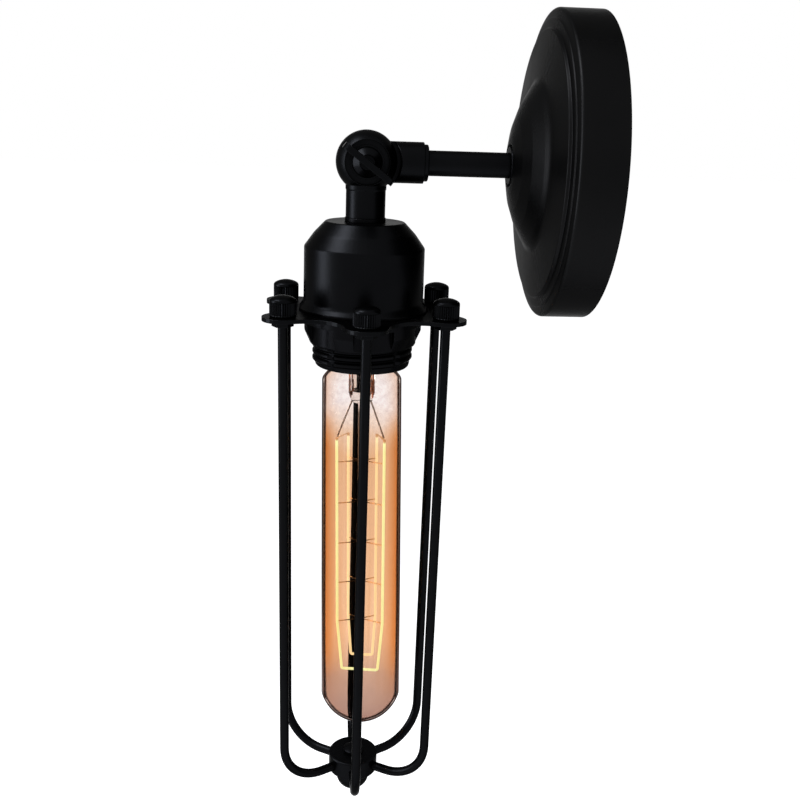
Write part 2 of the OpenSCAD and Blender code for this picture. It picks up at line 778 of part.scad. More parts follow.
// A wire from the terminal block into the arm and on to the hollow of the knuckle
module arm_wire(way, side) bent_wire(concat(
    [[way * block_pitch, -wire_depth, wire_start]],
    curve([way * block_pitch, -wire_depth, wire_bend], [way * block_pitch, -wire_depth, wire_bend + 7],
        [-wire_x, -wire_depth, side * wire_gap], [-wire_x, -arm_start, side * wire_gap], 12),
    [[-wire_x, -reach + loop_end, side * wire_gap]]), wire_r);

module arm_live_wire() color(wire_brown) arm_wire(-1, 1);
module arm_neutral_wire() color(wire_blue) arm_wire(1, -1);

module arm_tube() color(satin_black)
    out_from_wall(arm_start) ring(arm_r, arm_bore_r, arm_end - arm_start);

module arm_washer() color(satin_black) out_from_wall(seat_depth) turned(rounded([
    [thread_hole_r, 0, 0],
    [arm_washer_d / 2, 0, 0],
    [arm_washer_d / 2, arm_washer_t, soft_r],
    [thread_hole_r, arm_washer_t, 0]
]));

module arm_lock_washer() color(zinc)
    out_from_wall(lock_washer_depth) ring(lock_washer_r, thread_hole_r, lock_washer_t);

module arm_nut() color(zinc)
    out_from_wall(lock_washer_depth - nut_h) hex_nut(nut_af, thread_hole_r, nut_h);

// The collar and its bead, from the pivot along +Z
module collar_shape() turned(rounded([
    [0, 0, 0],
    [collar_r, 0, 0],
    [collar_r, collar_len - bead_w, fine_r],
    [collar_r - bead_groove, collar_len - bead_w, 0],
    [collar_r - bead_groove, collar_len, soft_r],
    [0, collar_len, 0]
]));

module neck_shape() turned([
    [0, 0], [neck_root_r, 0], [neck_root_r, neck_root_h],
    [neck_r, neck_start], [neck_r, neck_len], [0, neck_len]
]);

// Half of the ball on the +X side, and the room in which the other half's stem is cut back
module half_ball() intersection() {
    rotate([45, 0, 0]) across() sphere(r = ball_r);
    translate([seam / 2, -2 * ball_r, -2 * ball_r]) cube(4 * ball_r);
}

module stem_room() across(-ball_r - cut) cylinder(r = swing_r, h = ball_r + cut + seam / 2);

// Hollow, screw hole, threaded hole and wire bore of a half whose stem runs down. Past the
// thread the bore keeps to the half's own side, so that no wire shows between the halves
module knuckle_bores(stem_len, thread_len) {
    across(seam / 2 - cut) ring(hollow_d / 2, boss_d / 2, hollow_depth + cut);
    across(-ball_r) cylinder(r = clamp_r + hole_fit, h = 2 * ball_r);
    translate([0, 0, -stem_len - cut]) cylinder(r = thread_hole_r, h = thread_len + cut);
    translate([0, 0, -stem_len]) {
        cylinder(r = arm_bore_r, h = stem_len - swing_r - bore_wall);
        intersection() {
            cylinder(r = arm_bore_r, h = stem_len - bore_stop);
            translate([seam / 2 + bore_side, -arm_r, 0]) cube([arm_r, 2 * arm_r, stem_len]);
        }
    }
}

// The half on the wall side is the mirrored half, turned so that its stem points at the wall
module fixed_knuckle() color(satin_black) at_pivot() rotate([90, 0, 0]) mirror([1, 0, 0])
    difference() {
        union() {
            half_ball();
            difference() {
                mirror([0, 0, 1]) collar_shape();
                stem_room();
            }
        }
        knuckle_bores(collar_len, collar_thread);
        across(nut_seat) rotate(30) hexagon(clamp_nut_af + 2 * hole_fit, ball_r);
    }

module moving_knuckle() color(satin_black) at_pivot() difference() {
    union() {
        half_ball();
        difference() {
            mirror([0, 0, 1]) neck_shape();
            stem_room();
        }
    }
    knuckle_bores(neck_len, neck_thread);
    across(recess_floor) cylinder(d = recess_d, h = ball_r);
}

module friction_washer() color(moulded_black) at_pivot() across(-seam / 2 + face_gap)
    ring(ball_r - soft_r, hollow_d / 2 + hole_fit, seam - 2 * face_gap);

module joint_nut() color(zinc) at_pivot() rotate([90, 0, 0]) across(-nut_seat - clamp_nut_h) rotate(30)
    hex_nut(clamp_nut_af, clamp_r + thread_fit, clamp_nut_h);

module thumb_washer() color(satin_black) at_pivot() across(recess_floor)
    ring(thumb_washer_d / 2, clamp_r + hole_fit, thumb_washer_t - face_gap);

// The wing's outline: a narrow foot that widens to a paddle with rounded corners
wing_outline = rounded([
    [0, 0, 0],
    [0, wing_foot_r, 0],
    [wing_len * 0.12, wing_foot_r, wing_foot_round],
    [wing_len * 0.3, wing_w / 2, wing_corner_r],
    [wing_len, wing_w / 2, wing_corner_r],
    [wing_len, 0, 0]
]);

// The bell at the wing's foot, from the washer outwards
wing_bell = rounded([
    [0, 0, 0],
    [wing_root_r, 0, 0],
    [wing_root_r, wing_root_edge, 1.4],
    [wing_root_tip_r, wing_root_h - 0.8, 2],
    [wing_root_tip_r, wing_root_h, 0],
    [0, wing_root_h, 0]
]);

module thumb_screw() color(satin_black) at_pivot() rotate([90 - wing_slope, 0, 0]) {
    across(-clamp_tip) cylinder(r = clamp_r, h = clamp_tip + washer_face);
    across(washer_face) turned(wing_bell);
    for (side = [0, 1]) mirror([0, 0, side]) translate([wing_start, wing_t / 2, 0]) rotate([90, 0, 0])
        linear_extrude(wing_t) polygon(wing_outline);
}

module neck_washer() color(moulded_black) at_pivot()
    translate([0, 0, cup_top]) ring(neck_washer_r, thread_hole_r, neck_washer_t);

module head_nipple() color(zinc) at_pivot()
    translate([0, 0, nipple_end]) ring(arm_r, arm_bore_r, nipple_top - nipple_end);

module nipple_nut() color(zinc) at_pivot()
    translate([0, 0, nipple_nut_z]) hex_nut(nut_af, thread_hole_r, nut_h);

// The spun cup: flat top, swelling shoulder, straight side and flared lip
cup_outside = rounded([
    [arm_hole_r, cup_top, 0],
    [cup_top_r, cup_top, 1.2],
    [shoulder_mid_r, shoulder_mid_z, 9],
    [shoulder_r, shoulder_foot, 1.6],
    [cup_r, seat_z + lip_h, 3],
    [lip_r, seat_z + lip_edge_h, soft_r],
    [lip_r, seat_z, 0]
]);
cup_inside = rounded([
    [lip_r - lip_turn, seat_z, 0],
    [cup_inner_r, seat_z + lip_h - 1, 3],
    [shoulder_r - cup_wall, shoulder_foot - cup_wall * 0.4, 1],
    [shoulder_mid_r - cup_wall * 0.7, shoulder_mid_z - cup_wall * 0.7, 8],
    [cup_top_r - cup_wall * 0.5, cup_top - cup_wall, 1],
    [arm_hole_r, cup_top - cup_wall, 0]
]);

module holder_cup() color(satin_black) at_pivot() turned(concat(cup_outside, cup_inside));

// The moulded dome over the contacts, screwed on the nipple
module holder_cap() color(moulded_black) at_pivot() turned(concat(
    rounded([
        [thread_hole_r, cap_top, 0],
        [cap_boss_r, cap_top, soft_r],
        [cap_boss_r, cap_top - cap_boss_h + 1, 1],
        [cap_r, cap_dome_end, 4],
        [cap_r, cap_end, 0]
    ]),
    rounded([
        [cap_inner_r, cap_end, 0],
        [cap_inner_r, cap_dome_end - moulded_wall / 2, 3],
        [cap_boss_r, cap_roof, 1],
        [thread_hole_r, cap_roof, 0]
    ])
));

// Porcelain, with a pocket for each clamp and a rim that the screw shell hangs on
module socket_insert() color(porcelain) at_pivot() difference() {
    union() {
        translate([0, 0, insert_end]) cylinder(r = insert_r, h = insert_h);
        translate([0, 0, insert_foot]) ring(insert_r, shell_out_r - soft_r, insert_rim_h);
    }
    for (side = [-1, 1])
        translate([-clamp_len / 2 - clamp_room, side * clamp_y - clamp_w / 2 - clamp_room, clamp_base])
            cube([clamp_len + 2 * clamp_room, clamp_w + 2 * clamp_room, clamp_sunk + cut]);
    translate([0, 0, insert_end - cut]) cylinder(r = rivet_hole_r, h = insert_h + 2 * cut);
}

// Two brass clamps on the insert, each with its screw
module insert_terminals() color(brass) at_pivot() for (side = [-1, 1]) translate([0, side * clamp_y, 0]) {
    difference() {
        translate([-clamp_len / 2, -clamp_w / 2, clamp_base])
            cube([clamp_len, clamp_w, clamp_sunk + clamp_over]);
        translate([wire_x, 0, clamp_top - wire_grip]) cylinder(r = wire_hole_r, h = wire_grip + cut);
    }
    translate([0, 0, clamp_screw_z]) across(-clamp_len / 2 - clamp_screw_head_h)
        cylinder(r = clamp_screw_head_r, h = clamp_screw_head_h + fine_r);
}

// A leaf of spring brass riveted through the middle of the insert
module centre_contact() color(brass) at_pivot() {
    translate([0, 0, insert_end]) cylinder(r = rivet_r, h = insert_h);
    translate([-leaf_w / 2, -leaf_front, contact_z]) cube([leaf_w, 2 * leaf_front, leaf_t]);
    translate([-leaf_w / 2, leaf_front - leaf_t, contact_z]) cube([leaf_w, leaf_t, insert_end - contact_z]);
    translate([-leaf_w / 2, -leaf_back, insert_end - leaf_t]) cube([leaf_w, leaf_back + leaf_front, leaf_t]);
}

module screw_shell() color(brass) at_pivot() turned([
    [shell_r, insert_foot], [shell_out_r, insert_foot],
    [shell_out_r, shell_end + chamfer], [shell_out_r + shell_flare, shell_end],
    [shell_r + shell_flare, shell_end], [shell_r, shell_end + chamfer]
]);

// The skirt: a tube inside the dome, a flange under the cup, and the thread for the shade ring
module holder_skirt() color(moulded_black) at_pivot() turned(concat(
    rounded([
        [insert_bore_r, skirt_top, 0],
        [skirt_tube_r, skirt_top, soft_r],
        [skirt_tube_r, cap_end, 0],
        [flange_r, cap_end, soft_r],
        [flange_r, seat_z, 0],
        [root_r, seat_z, 0]
    ]),
    ridge_points,
    rounded([
        [root_r, skirt_end + skirt_plain_end, 0],
        [root_r, skirt_end, hub_edge_r],
        [mouth_r, skirt_end, soft_r],
        [mouth_r, insert_foot, 0],
        [insert_bore_r, insert_foot, 0]
    ])
));

// A wire from the hollow of the knuckle down the nipple to its clamp
module head_wire(side) at_pivot() bent_wire(concat(
    [[wire_x, side * wire_gap, -loop_end]],
    curve([wire_x, side * wire_gap, nipple_end + chamfer], [wire_x, side * wire_gap, nipple_end - 4],
        [wire_x, side * clamp_y, clamp_top + 4], [wire_x, side * clamp_y, clamp_top + fine_r], 10),
    [[wire_x, side * clamp_y, clamp_top - wire_grip + fine_r]]), wire_r);

module head_live_wire() color(wire_brown) head_wire(-1);
module head_neutral_wire() color(wire_blue) head_wire(1);

// The ring nut that clamps the cage plate, with finger grips round its side
module shade_ring() color(moulded_black) at_pivot() translate([0, 0, cage_under]) difference() {
    turned(rounded([
        [ring_bore_r, -face_gap, 0],
        [shade_ring_r, -face_gap, soft_r],
        [shade_ring_r, -ring_side_h, ring_foot_round],
        [ring_foot_r, -shade_ring_h, soft_r],
        [ring_bore_r, -shade_ring_h, 0]
    ]));
    rotate(grip_turn) round_the_cage() difference() {
        translate([0, 0, -shade_ring_h - cut]) linear_extrude(shade_ring_h - ring_band_h + cut)
            polygon([[0, 0], [2 * shade_ring_r, -grip_half_w], [2 * shade_ring_r, grip_half_w]]);
        translate([0, 0, -shade_ring_h - 2 * cut]) cylinder(r = grip_r, h = shade_ring_h + 3 * cut);
    }
}

// One sixth of the cage plate's outline: half a hollow, a lug, and half a hollow
lug_outline = concat(
    arc([scallop_at[0], -scallop_at[1]], scallop_r, 180 - half_turn, 180 - touch, 5),
    arc([circle_r, 0], lug_r, -touch, touch, 14),
    arc(scallop_at, scallop_r, 180 + touch, 180 + half_turn, 5)
);

module cage_plate() color(satin_black) at_pivot() translate([0, 0, cage_under]) difference() {
    linear_extrude(cage_plate_t) polygon([for (i = [0:rods - 1], k = [1:len(lug_outline) - 1])
        turned_by(lug_outline[k], i * rod_angle)]);
    translate([0, 0, -cut]) cylinder(r = thread_r + hole_fit, h = cage_plate_t + 2 * cut);
    round_the_cage() translate([circle_r, 0, -cut])
        cylinder(r = rod_r + hole_fit, h = cage_plate_t + 2 * cut);
}

// A rod: a threaded top, a long leaning leg, a bend and a foot that reaches into the hub
module cage_rod(i) color(satin_black) at_pivot() rotate(i * rod_angle) {
    translate([circle_r, 0, seat_z]) cylinder(r = rod_r, h = rod_top - seat_z);
    translate([circle_r, 0, seat_z]) rotate([0, 180 + rod_lean, 0]) {
        cylinder(r = rod_r, h = straight_len);
        for (z = [0, straight_len]) translate([0, 0, z]) sphere(r = rod_r);
    }
    translate([bend_c, 0, rod_z + rod_bend_r]) rotate([90, 0, 0]) rotate(-90)
        rotate_extrude(angle = 90 - rod_lean) translate([rod_bend_r, 0]) circle(r = rod_r);
    translate([socket_r, 0, rod_z]) across() cylinder(r = rod_r, h = bend_c - socket_r);
}

// Domed and closed at the top, with a blind hole for the rod
module cap_nut() turned(concat(
    [[0, cap_hole_h], [rod_r + thread_fit, cap_hole_h]],
    rounded([
        [rod_r + thread_fit, 0, 0],
        [cap_nut_r, 0, soft_r],
        [cap_nut_r, cap_nut_h - cap_dome_h, 1.2],
        [cap_nut_r * 0.6, cap_nut_h - cap_shoulder_h, 2.5],
        [0, cap_nut_h, 0]
    ])
));

module cap_nuts() color(satin_black) at_pivot()
    round_the_cage() translate([circle_r, 0, seat_z]) cap_nut();

module hex_nuts() color(satin_black) at_pivot() round_the_cage()
    translate([circle_r, 0, cage_under - hex_nut_h]) rotate(30)
        hex_nut(hex_nut_af, rod_r + hex_nut_fit, hex_nut_h);

module cage_hub() color(satin_black) at_pivot() difference() {
    translate([0, 0, hub_under]) turned(rounded([
        [0, 0, 0], [hub_r, 0, soft_r], [hub_r, hub_h, hub_edge_r], [0, hub_h, 0]
    ]));
    translate([0, 0, hub_under - cut]) cylinder(r = hub_bolt_r + hole_fit, h = hub_h + 2 * cut);
    round_the_cage() translate([socket_r - socket_room, 0, rod_z]) across()
        cylinder(r = rod_r + thread_fit, h = hub_r);
}

module hub_screw() color(satin_black) at_pivot() {
    translate([0, 0, bolt_end]) cylinder(r = hub_bolt_r, h = hub_top - bolt_end);
    translate([0, 0, hub_top]) difference() {
        pan_head(bolt_head_r, bolt_head_h);
        translate([-bolt_head_r - cut, -bolt_slot_w / 2, bolt_head_h / 2])
            cube([2 * (bolt_head_r + cut), bolt_slot_w, bolt_head_h]);
    }
}

// A round nut with a flat seat
module hub_finial() color(satin_black) at_pivot() difference() {
    intersection() {
        translate([0, 0, finial_c]) sphere(r = finial_r);
        translate([-finial_r, -finial_r, hub_under - finial_d]) cube(finial_d);
    }
    translate([0, 0, finial_bore_end]) cylinder(r = hub_bolt_r + thread_fit, h = finial_d);
}

// The bulb's brass shell
module bulb_cap() color(brass) at_pivot() turned([
    [insulator_r, cap_shell_top + cap_cone_h], [cap_thread_r, cap_shell_top],
    [cap_thread_r, cap_shell_end], [cap_thread_r - cap_sheet, cap_shell_end],
    [cap_thread_r - cap_sheet, cap_shell_top - fine_r], [insulator_r, cap_shell_top + cap_cone_h - cap_sheet]
]);

module bulb_insulator() color(moulded_black) at_pivot() turned([
    [0, cap_shell_top + cap_sheet], [insulator_r - insulator_fit, cap_shell_top + cap_sheet],
    [insulator_r - insulator_fit, cap_shell_top + cap_cone_h],
    [bulb_contact_r + fine_r, insulator_top], [0, insulator_top]
]);

module bulb_contact() color(brass) at_pivot()
    translate([0, 0, insulator_top]) pan_head(bulb_contact_r, bulb_contact_h);

glass_outside = concat(
    rounded([
        [glass_neck_r, glass_top, 0],
        [glass_neck_r, cap_shell_end - flare_drop, 1.2],
        [bulb_r - bulb_taper, shoulder_z, 3.2],
        [bulb_r, end_corner + 1, 0]
    ]),
    arc([0, end_c], glass_end_r, -acos(bulb_r / glass_end_r), -90, 14)
);
glass_inside = concat(
    arc([0, end_c], glass_inner_end_r, -90, -acos(glass_inner_r / glass_inner_end_r), 14),
    rounded([
        [glass_inner_r, end_corner + 1, 0],
        [glass_inner_r - bulb_taper, shoulder_z, 2.6],
        [glass_neck_inner_r, cap_shell_end - flare_drop - 0.4, 1.4],
        [glass_neck_inner_r, glass_top, 0]
    ])
);

// The glass and all in it lean by turning about the middle of the length held in the cap
module in_glass() at_pivot() translate([0, 0, lean_z]) rotate([bulb_lean, 0, 0])
    translate([0, 0, -lean_z]) children();

module bulb_glass() color(amber) in_glass() turned(concat(glass_outside, glass_inside));

// The flare and press that carry the leads, and the glass rod down the middle
module bulb_stem() color(clear_glass) in_glass() {
    difference() {
        turned(rounded([
            [0, glass_top - fine_r, 0],
            [glass_neck_inner_r - insulator_fit, glass_top - fine_r, 0],
            [stem_r, glass_top - stem_flare_h, 4],
            [stem_r, stem_end + 4, 0],
            [stem_r - stem_wall, stem_end, 1],
            [0, stem_end, 0]
        ]));
        translate([0, 0, stem_end + stem_press_h])
            cylinder(r = stem_r - stem_wall, h = glass_top - stem_end);
        rotate(filament_turn) mirror_halves() strand(lead_foot, lead_end, lead_r + thread_fit);
    }
    translate([0, 0, filament_end + 6]) cylinder(r = rod_core_r, h = stem_end - filament_end - 5);
}

module mirror_halves() for (side = [0, 1]) mirror([0, side, 0]) children();

// The lead ends just inside its blind hole in the press, and just short of the filament
module bulb_leads() color(zinc) in_glass() rotate(filament_turn) mirror_halves()
    strand(lead_foot + unit(lead_end - lead_foot) * thread_fit, lead_end, lead_r);

// A support from the glass rod out to one strand, at one height
module support(strand_at, z) {
    way = unit([strand_at[0], strand_at[1], 0]);
    strand(way * (rod_core_r + face_gap) + [0, 0, z],
        way * (norm([strand_at[0], strand_at[1]]) - filament_r - face_gap) + [0, 0, z], support_r);
}

module bulb_supports() color(zinc) in_glass() rotate(filament_turn)
    for (z = support_at) mirror_halves() {
        support(front_top, z);
        support(rear_top, z);
    }

// One hanging loop, from the +Y side across its foot to the -Y side
function loop(x, half_w, foot_z) = [for (p = rounded([
        [half_w, filament_top, 0],
        [half_w, filament_knee, 6],
        [half_w * filament_foot, foot_z, 0.8],
        [-half_w * filament_foot, foot_z, 0.8],
        [-half_w, filament_knee, 6],
        [-half_w, filament_top, 0]
    ])) [x, p[0], p[1]]];
front_loop = loop(filament_offset, filament_half_w, filament_end);
rear_loop = loop(-filament_offset, filament_rear_half_w, filament_end + rear_lift);

// One unbroken wire: down and up the front loop, over, down and up the rear one, and back
module bulb_filament() color(hot_wire) in_glass() rotate(filament_turn) bent_wire(concat(
    front_loop, [for (i = [len(rear_loop) - 1:-1:0]) rear_loop[i]],
    [rear_top + (front_top - rear_top) * 0.8]), filament_r);

wall_plate();
wall_bracket();
rim_screws();
earth_screw();
earth_washer();
terminal_block();
terminal_tubes();
block_screw();
earth_wire();
arm_live_wire();
arm_neutral_wire();
arm_tube();
arm_washer();
arm_lock_washer();
arm_nut();
fixed_knuckle();
friction_washer();
joint_nut();
moving_knuckle();
thumb_washer();
thumb_screw();
head_nipple();
neck_washer();
nipple_nut();
holder_cup();
holder_cap();
socket_insert();
insert_terminals();
centre_contact();
screw_shell();
holder_skirt();
head_live_wire();
head_neutral_wire();
shade_ring();
cage_plate();
cage_rod(0);  // cage_rod_1
cage_rod(1);  // cage_rod_2
cage_rod(2);  // cage_rod_3
cage_rod(3);  // cage_rod_4
cage_rod(4);  // cage_rod_5
cage_rod(5);  // cage_rod_6
cap_nuts();
hex_nuts();
cage_hub();
hub_screw();
hub_finial();
bulb_cap();
bulb_insulator();
bulb_contact();
bulb_glass();
bulb_stem();
bulb_leads();
bulb_supports();
bulb_filament();
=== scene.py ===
import json
import math
import bmesh
import bpy
from mathutils import Matrix, Vector

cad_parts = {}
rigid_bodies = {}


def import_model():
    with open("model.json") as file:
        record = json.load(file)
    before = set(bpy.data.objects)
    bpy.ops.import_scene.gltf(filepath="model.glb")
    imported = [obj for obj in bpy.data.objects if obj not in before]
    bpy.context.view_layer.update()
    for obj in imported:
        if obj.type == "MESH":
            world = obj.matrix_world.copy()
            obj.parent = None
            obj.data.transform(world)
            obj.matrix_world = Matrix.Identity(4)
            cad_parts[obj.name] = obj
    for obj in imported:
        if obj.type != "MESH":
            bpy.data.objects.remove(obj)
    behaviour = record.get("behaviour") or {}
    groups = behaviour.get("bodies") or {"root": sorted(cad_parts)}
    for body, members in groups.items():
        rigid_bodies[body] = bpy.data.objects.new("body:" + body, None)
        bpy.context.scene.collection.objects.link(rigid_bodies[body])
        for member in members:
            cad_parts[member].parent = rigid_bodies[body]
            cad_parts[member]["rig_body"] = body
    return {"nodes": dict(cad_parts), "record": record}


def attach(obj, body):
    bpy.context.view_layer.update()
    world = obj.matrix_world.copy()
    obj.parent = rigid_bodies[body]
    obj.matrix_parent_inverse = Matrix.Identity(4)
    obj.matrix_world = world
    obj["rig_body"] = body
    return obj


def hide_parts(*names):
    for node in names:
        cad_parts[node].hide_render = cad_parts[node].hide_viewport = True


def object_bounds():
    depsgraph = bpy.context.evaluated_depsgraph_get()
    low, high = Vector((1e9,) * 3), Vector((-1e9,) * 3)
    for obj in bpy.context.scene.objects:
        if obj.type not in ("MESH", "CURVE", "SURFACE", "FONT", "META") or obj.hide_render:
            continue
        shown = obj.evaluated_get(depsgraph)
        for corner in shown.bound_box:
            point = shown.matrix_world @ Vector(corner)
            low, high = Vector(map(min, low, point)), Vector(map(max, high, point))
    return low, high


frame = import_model()
nodes = frame["nodes"]
cadLow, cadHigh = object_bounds()
pivot = Vector((0, -0.0887, 0))       # the head tilts about a level line through this point
mergeWithin = 0.00001                 # corners nearer than this become one, in metres
sharpFrom = 0.6                       # an edge that turns by more than this stays crisp, in radians
print("frame loaded:", len(nodes), "nodes")

photoCamera = {
    "place": (0.40866, -0.10531, 0.02064),
    "yaw": 85.36, "pitch": 16.19, "roll": 1.97,   # degrees: left of +Y, down, clockwise
    "lens": 45.19, "sensor": 36,
    "near": 0.01, "far": 30,
}
studio = {
    "backdrop": 1.0,        # how bright the white surroundings look
    "skyLight": 0.5,        # how much they light the lamp
    "floorDrop": 0.42,      # below the lowest piece
    "floorSize": 12,
    "floorColour": (0.86, 0.86, 0.87),
    "floorRough": 0.9,
    "floorWhite": 0.6,      # how much white the camera adds to the floor's own colour
}
softBoxes = {
    # name: place, target, size, power, colour
    "sideBox": ((0.10, -1.25, 0.05), (0, -0.09, -0.02), (0.42, 1.0), 17, (0.93, 0.96, 1.0)),
    "upperBox": ((0.05, -0.75, 1.0), (0, -0.09, 0), (0.5, 0.5), 16, (0.95, 0.97, 1.0)),
}


def makeCamera(spec):
    yaw, pitch, roll = (math.radians(spec[key]) for key in ("yaw", "pitch", "roll"))
    forward = Vector((-math.sin(yaw) * math.cos(pitch), math.cos(yaw) * math.cos(pitch), -math.sin(pitch)))
    level = Vector((math.cos(yaw), math.sin(yaw), 0))
    down = forward.cross(level)
    right = level * math.cos(roll) - down * math.sin(roll)
    up = -(level * math.sin(roll) + down * math.cos(roll))
    data = bpy.data.cameras.new("photoCamera")
    data.lens, data.sensor_width, data.sensor_fit = spec["lens"], spec["sensor"], "HORIZONTAL"
    data.clip_start, data.clip_end = spec["near"], spec["far"]
    camera = bpy.data.objects.new("photoCamera", data)
    turn = Matrix((right, up, -forward)).transposed().to_4x4()
    camera.matrix_world = Matrix.Translation(Vector(spec["place"])) @ turn
    bpy.context.scene.collection.objects.link(camera)
    bpy.context.scene.camera = camera


def makeSoftBox(name, place, target, size, power, colour):
    data = bpy.data.lights.new(name, "AREA")
    data.shape, data.size, data.size_y = "RECTANGLE", size[0], size[1]
    data.energy, data.color = power, colour
    lamp = bpy.data.objects.new(name, data)
    lamp.location = place
    lamp.rotation_mode = "QUATERNION"
    lamp.rotation_quaternion = (Vector(target) - Vector(place)).to_track_quat("-Z", "Y")
    bpy.context.scene.collection.objects.link(lamp)


def addMath(tree, operation, first, second):
    step = tree.nodes.new("ShaderNodeMath")
    step.operation = operation
    for slot, value in zip(step.inputs, (first, second)):
        if isinstance(value, (int, float)):
            slot.default_value = value
        else:
            tree.links.new(value, slot)
    return step.outputs[0]


# 1 for rays from the camera, and for those that metal and glass pass on
def seenRays(tree):
    path = tree.nodes.new("ShaderNodeLightPath").outputs
    seen = addMath(tree, "MAXIMUM", path["Is Camera Ray"], path["Is Transmission Ray"])
    return addMath(tree, "MAXIMUM", seen, path["Is Glossy Ray"])


def makeWorld(spec):
    world = bpy.data.worlds.new("studioWorld")
    bpy.context.scene.world = world
    world.use_nodes = True
    tree = world.node_tree
    tree.nodes.clear()
    mix = tree.nodes.new("ShaderNodeMixShader")
    tree.links.new(seenRays(tree), mix.inputs[0])
    for slot, strength in ((1, spec["skyLight"]), (2, spec["backdrop"])):
        light = tree.nodes.new("ShaderNodeBackground")
        light.inputs["Color"].default_value = (1, 1, 1, 1)
        light.inputs["Strength"].default_value = strength
        tree.links.new(light.outputs[0], mix.inputs[slot])
    out = tree.nodes.new("ShaderNodeOutputWorld")
    tree.links.new(mix.outputs[0], out.inputs["Surface"])


bpy.context.scene.view_settings.view_transform = "Standard"
makeCamera(photoCamera)
makeWorld(studio)
for boxName, boxSpec in softBoxes.items():
    makeSoftBox(boxName, *boxSpec)
print("camera and lamps placed")


def newGroup(name, inputs, outputs):
    group = bpy.data.node_groups.new(name, "ShaderNodeTree")
    for label, kind, value in inputs:
        socket = group.interface.new_socket(name=label, in_out="INPUT", socket_type=kind)
        if value is not None:
            socket.default_value = value
    for label, kind in outputs:
        group.interface.new_socket(name=label, in_out="OUTPUT", socket_type=kind)
    source = group.nodes.new("NodeGroupInput")
    sink = group.nodes.new("NodeGroupOutput")
    return group, source.outputs, sink.inputs


# A noise is given as its scale, detail and roughness
def addNoise(tree, vector, scale, detail=2, rough=0.5):
    noise = tree.nodes.new("ShaderNodeTexNoise")
    noise.inputs["Detail"].default_value = detail
    noise.inputs["Roughness"].default_value = rough
    tree.links.new(vector, noise.inputs["Vector"])
    if isinstance(scale, (int, float)):
        noise.inputs["Scale"].default_value = scale
    else:
        tree.links.new(scale, noise.inputs["Scale"])
    return noise.outputs["Fac"]


# Turns the values between a zone's two ends into those of the spread, and holds them beyond it
def addRange(tree, value, zone, spread=(0.0, 1.0)):
    remap = tree.nodes.new("ShaderNodeMapRange")
    tree.links.new(value, remap.inputs[0])
    for slot, given in zip(remap.inputs[1:5], (*zone, *spread)):
        slot.default_value = given
    return remap.outputs[0]


coatNoise = {
    "fine": (3, 0.6),        # its scale is each finish's own grain
    "broad": (420, 2), "cloud": (38, 4, 0.55), "dust": (900, 2),
    "fineShare": 0.6, "broadShare": 0.8,        # of each in the height
    "cloudZone": (0.3, 0.7), "dustZone": (0.7, 0.76),
}
edgeWear = {
    "samples": 6,
    "turned": (0.985, 0.86),        # cosine between flat and rounded surface: where wear starts, and is full
    "patches": (260, 4, 0.65), "patchZone": (0.42, 0.62), "patchRub": (0.25, 1.0),
}


# Fine orange-peel height, soft clouds and rare dust specks, for paint, plastic, metal and glaze
def makeGrainGroup(spec):
    group, source, sink = newGroup(
        "coatGrain",
        [("Vector", "NodeSocketVector", None), ("Grain", "NodeSocketFloat", 1500.0)],
        [("Height", "NodeSocketFloat"), ("Cloud", "NodeSocketFloat"), ("Dust", "NodeSocketFloat")])
    place = source["Vector"]
    fine = addNoise(group, place, source["Grain"], *spec["fine"])
    broad = addNoise(group, place, *spec["broad"])
    height = addMath(group, "ADD", addMath(group, "MULTIPLY", fine, spec["fineShare"]),
                     addMath(group, "MULTIPLY", broad, spec["broadShare"]))
    group.links.new(height, sink["Height"])
    cloud = addNoise(group, place, *spec["cloud"])
    group.links.new(addRange(group, cloud, spec["cloudZone"]), sink["Cloud"])
    dust = addNoise(group, place, *spec["dust"])
    group.links.new(addRange(group, dust, spec["dustZone"]), sink["Dust"])
    return group


# Where a rounded edge would be, broken up by noise, and the rounded edge's normal
def makeEdgeGroup(spec):
    group, source, sink = newGroup(
        "edgeRub",
        [("Vector", "NodeSocketVector", None), ("Radius", "NodeSocketFloat", 0.0005)],
        [("Edge", "NodeSocketFloat"), ("Normal", "NodeSocketVector")])
    soft = group.nodes.new("ShaderNodeBevel")
    soft.samples = spec["samples"]
    group.links.new(source["Radius"], soft.inputs["Radius"])
    flat = group.nodes.new("ShaderNodeNewGeometry")
    compare = group.nodes.new("ShaderNodeVectorMath")
    compare.operation = "DOT_PRODUCT"
    group.links.new(soft.outputs[0], compare.inputs[0])
    group.links.new(flat.outputs["Normal"], compare.inputs[1])
    edge = addRange(group, compare.outputs["Value"], spec["turned"])
    patches = addNoise(group, source["Vector"], *spec["patches"])
    broken = addRange(group, patches, spec["patchZone"], spec["patchRub"])
    group.links.new(addMath(group, "MULTIPLY", edge, broken), sink["Edge"])
    group.links.new(soft.outputs[0], sink["Normal"])
    return group


coatGrain = makeGrainGroup(coatNoise)
edgeRub = makeEdgeGroup(edgeWear)


def newMaterial(name):
    material = bpy.data.materials.new(name)
    material.use_nodes = True
    tree = material.node_tree
    tree.nodes.clear()
    shader = tree.nodes.new("ShaderNodeBsdfPrincipled")
    out = tree.nodes.new("ShaderNodeOutputMaterial")
    tree.links.new(shader.outputs[0], out.inputs["Surface"])
    return material, tree, shader


def objectPlace(tree):
    return tree.nodes.new("ShaderNodeTexCoord").outputs["Object"]


# The place as three numbers in metres: X, Y and the height Z
def splitPlace(tree, place):
    split = tree.nodes.new("ShaderNodeSeparateXYZ")
    tree.links.new(place, split.inputs[0])
    return split.outputs


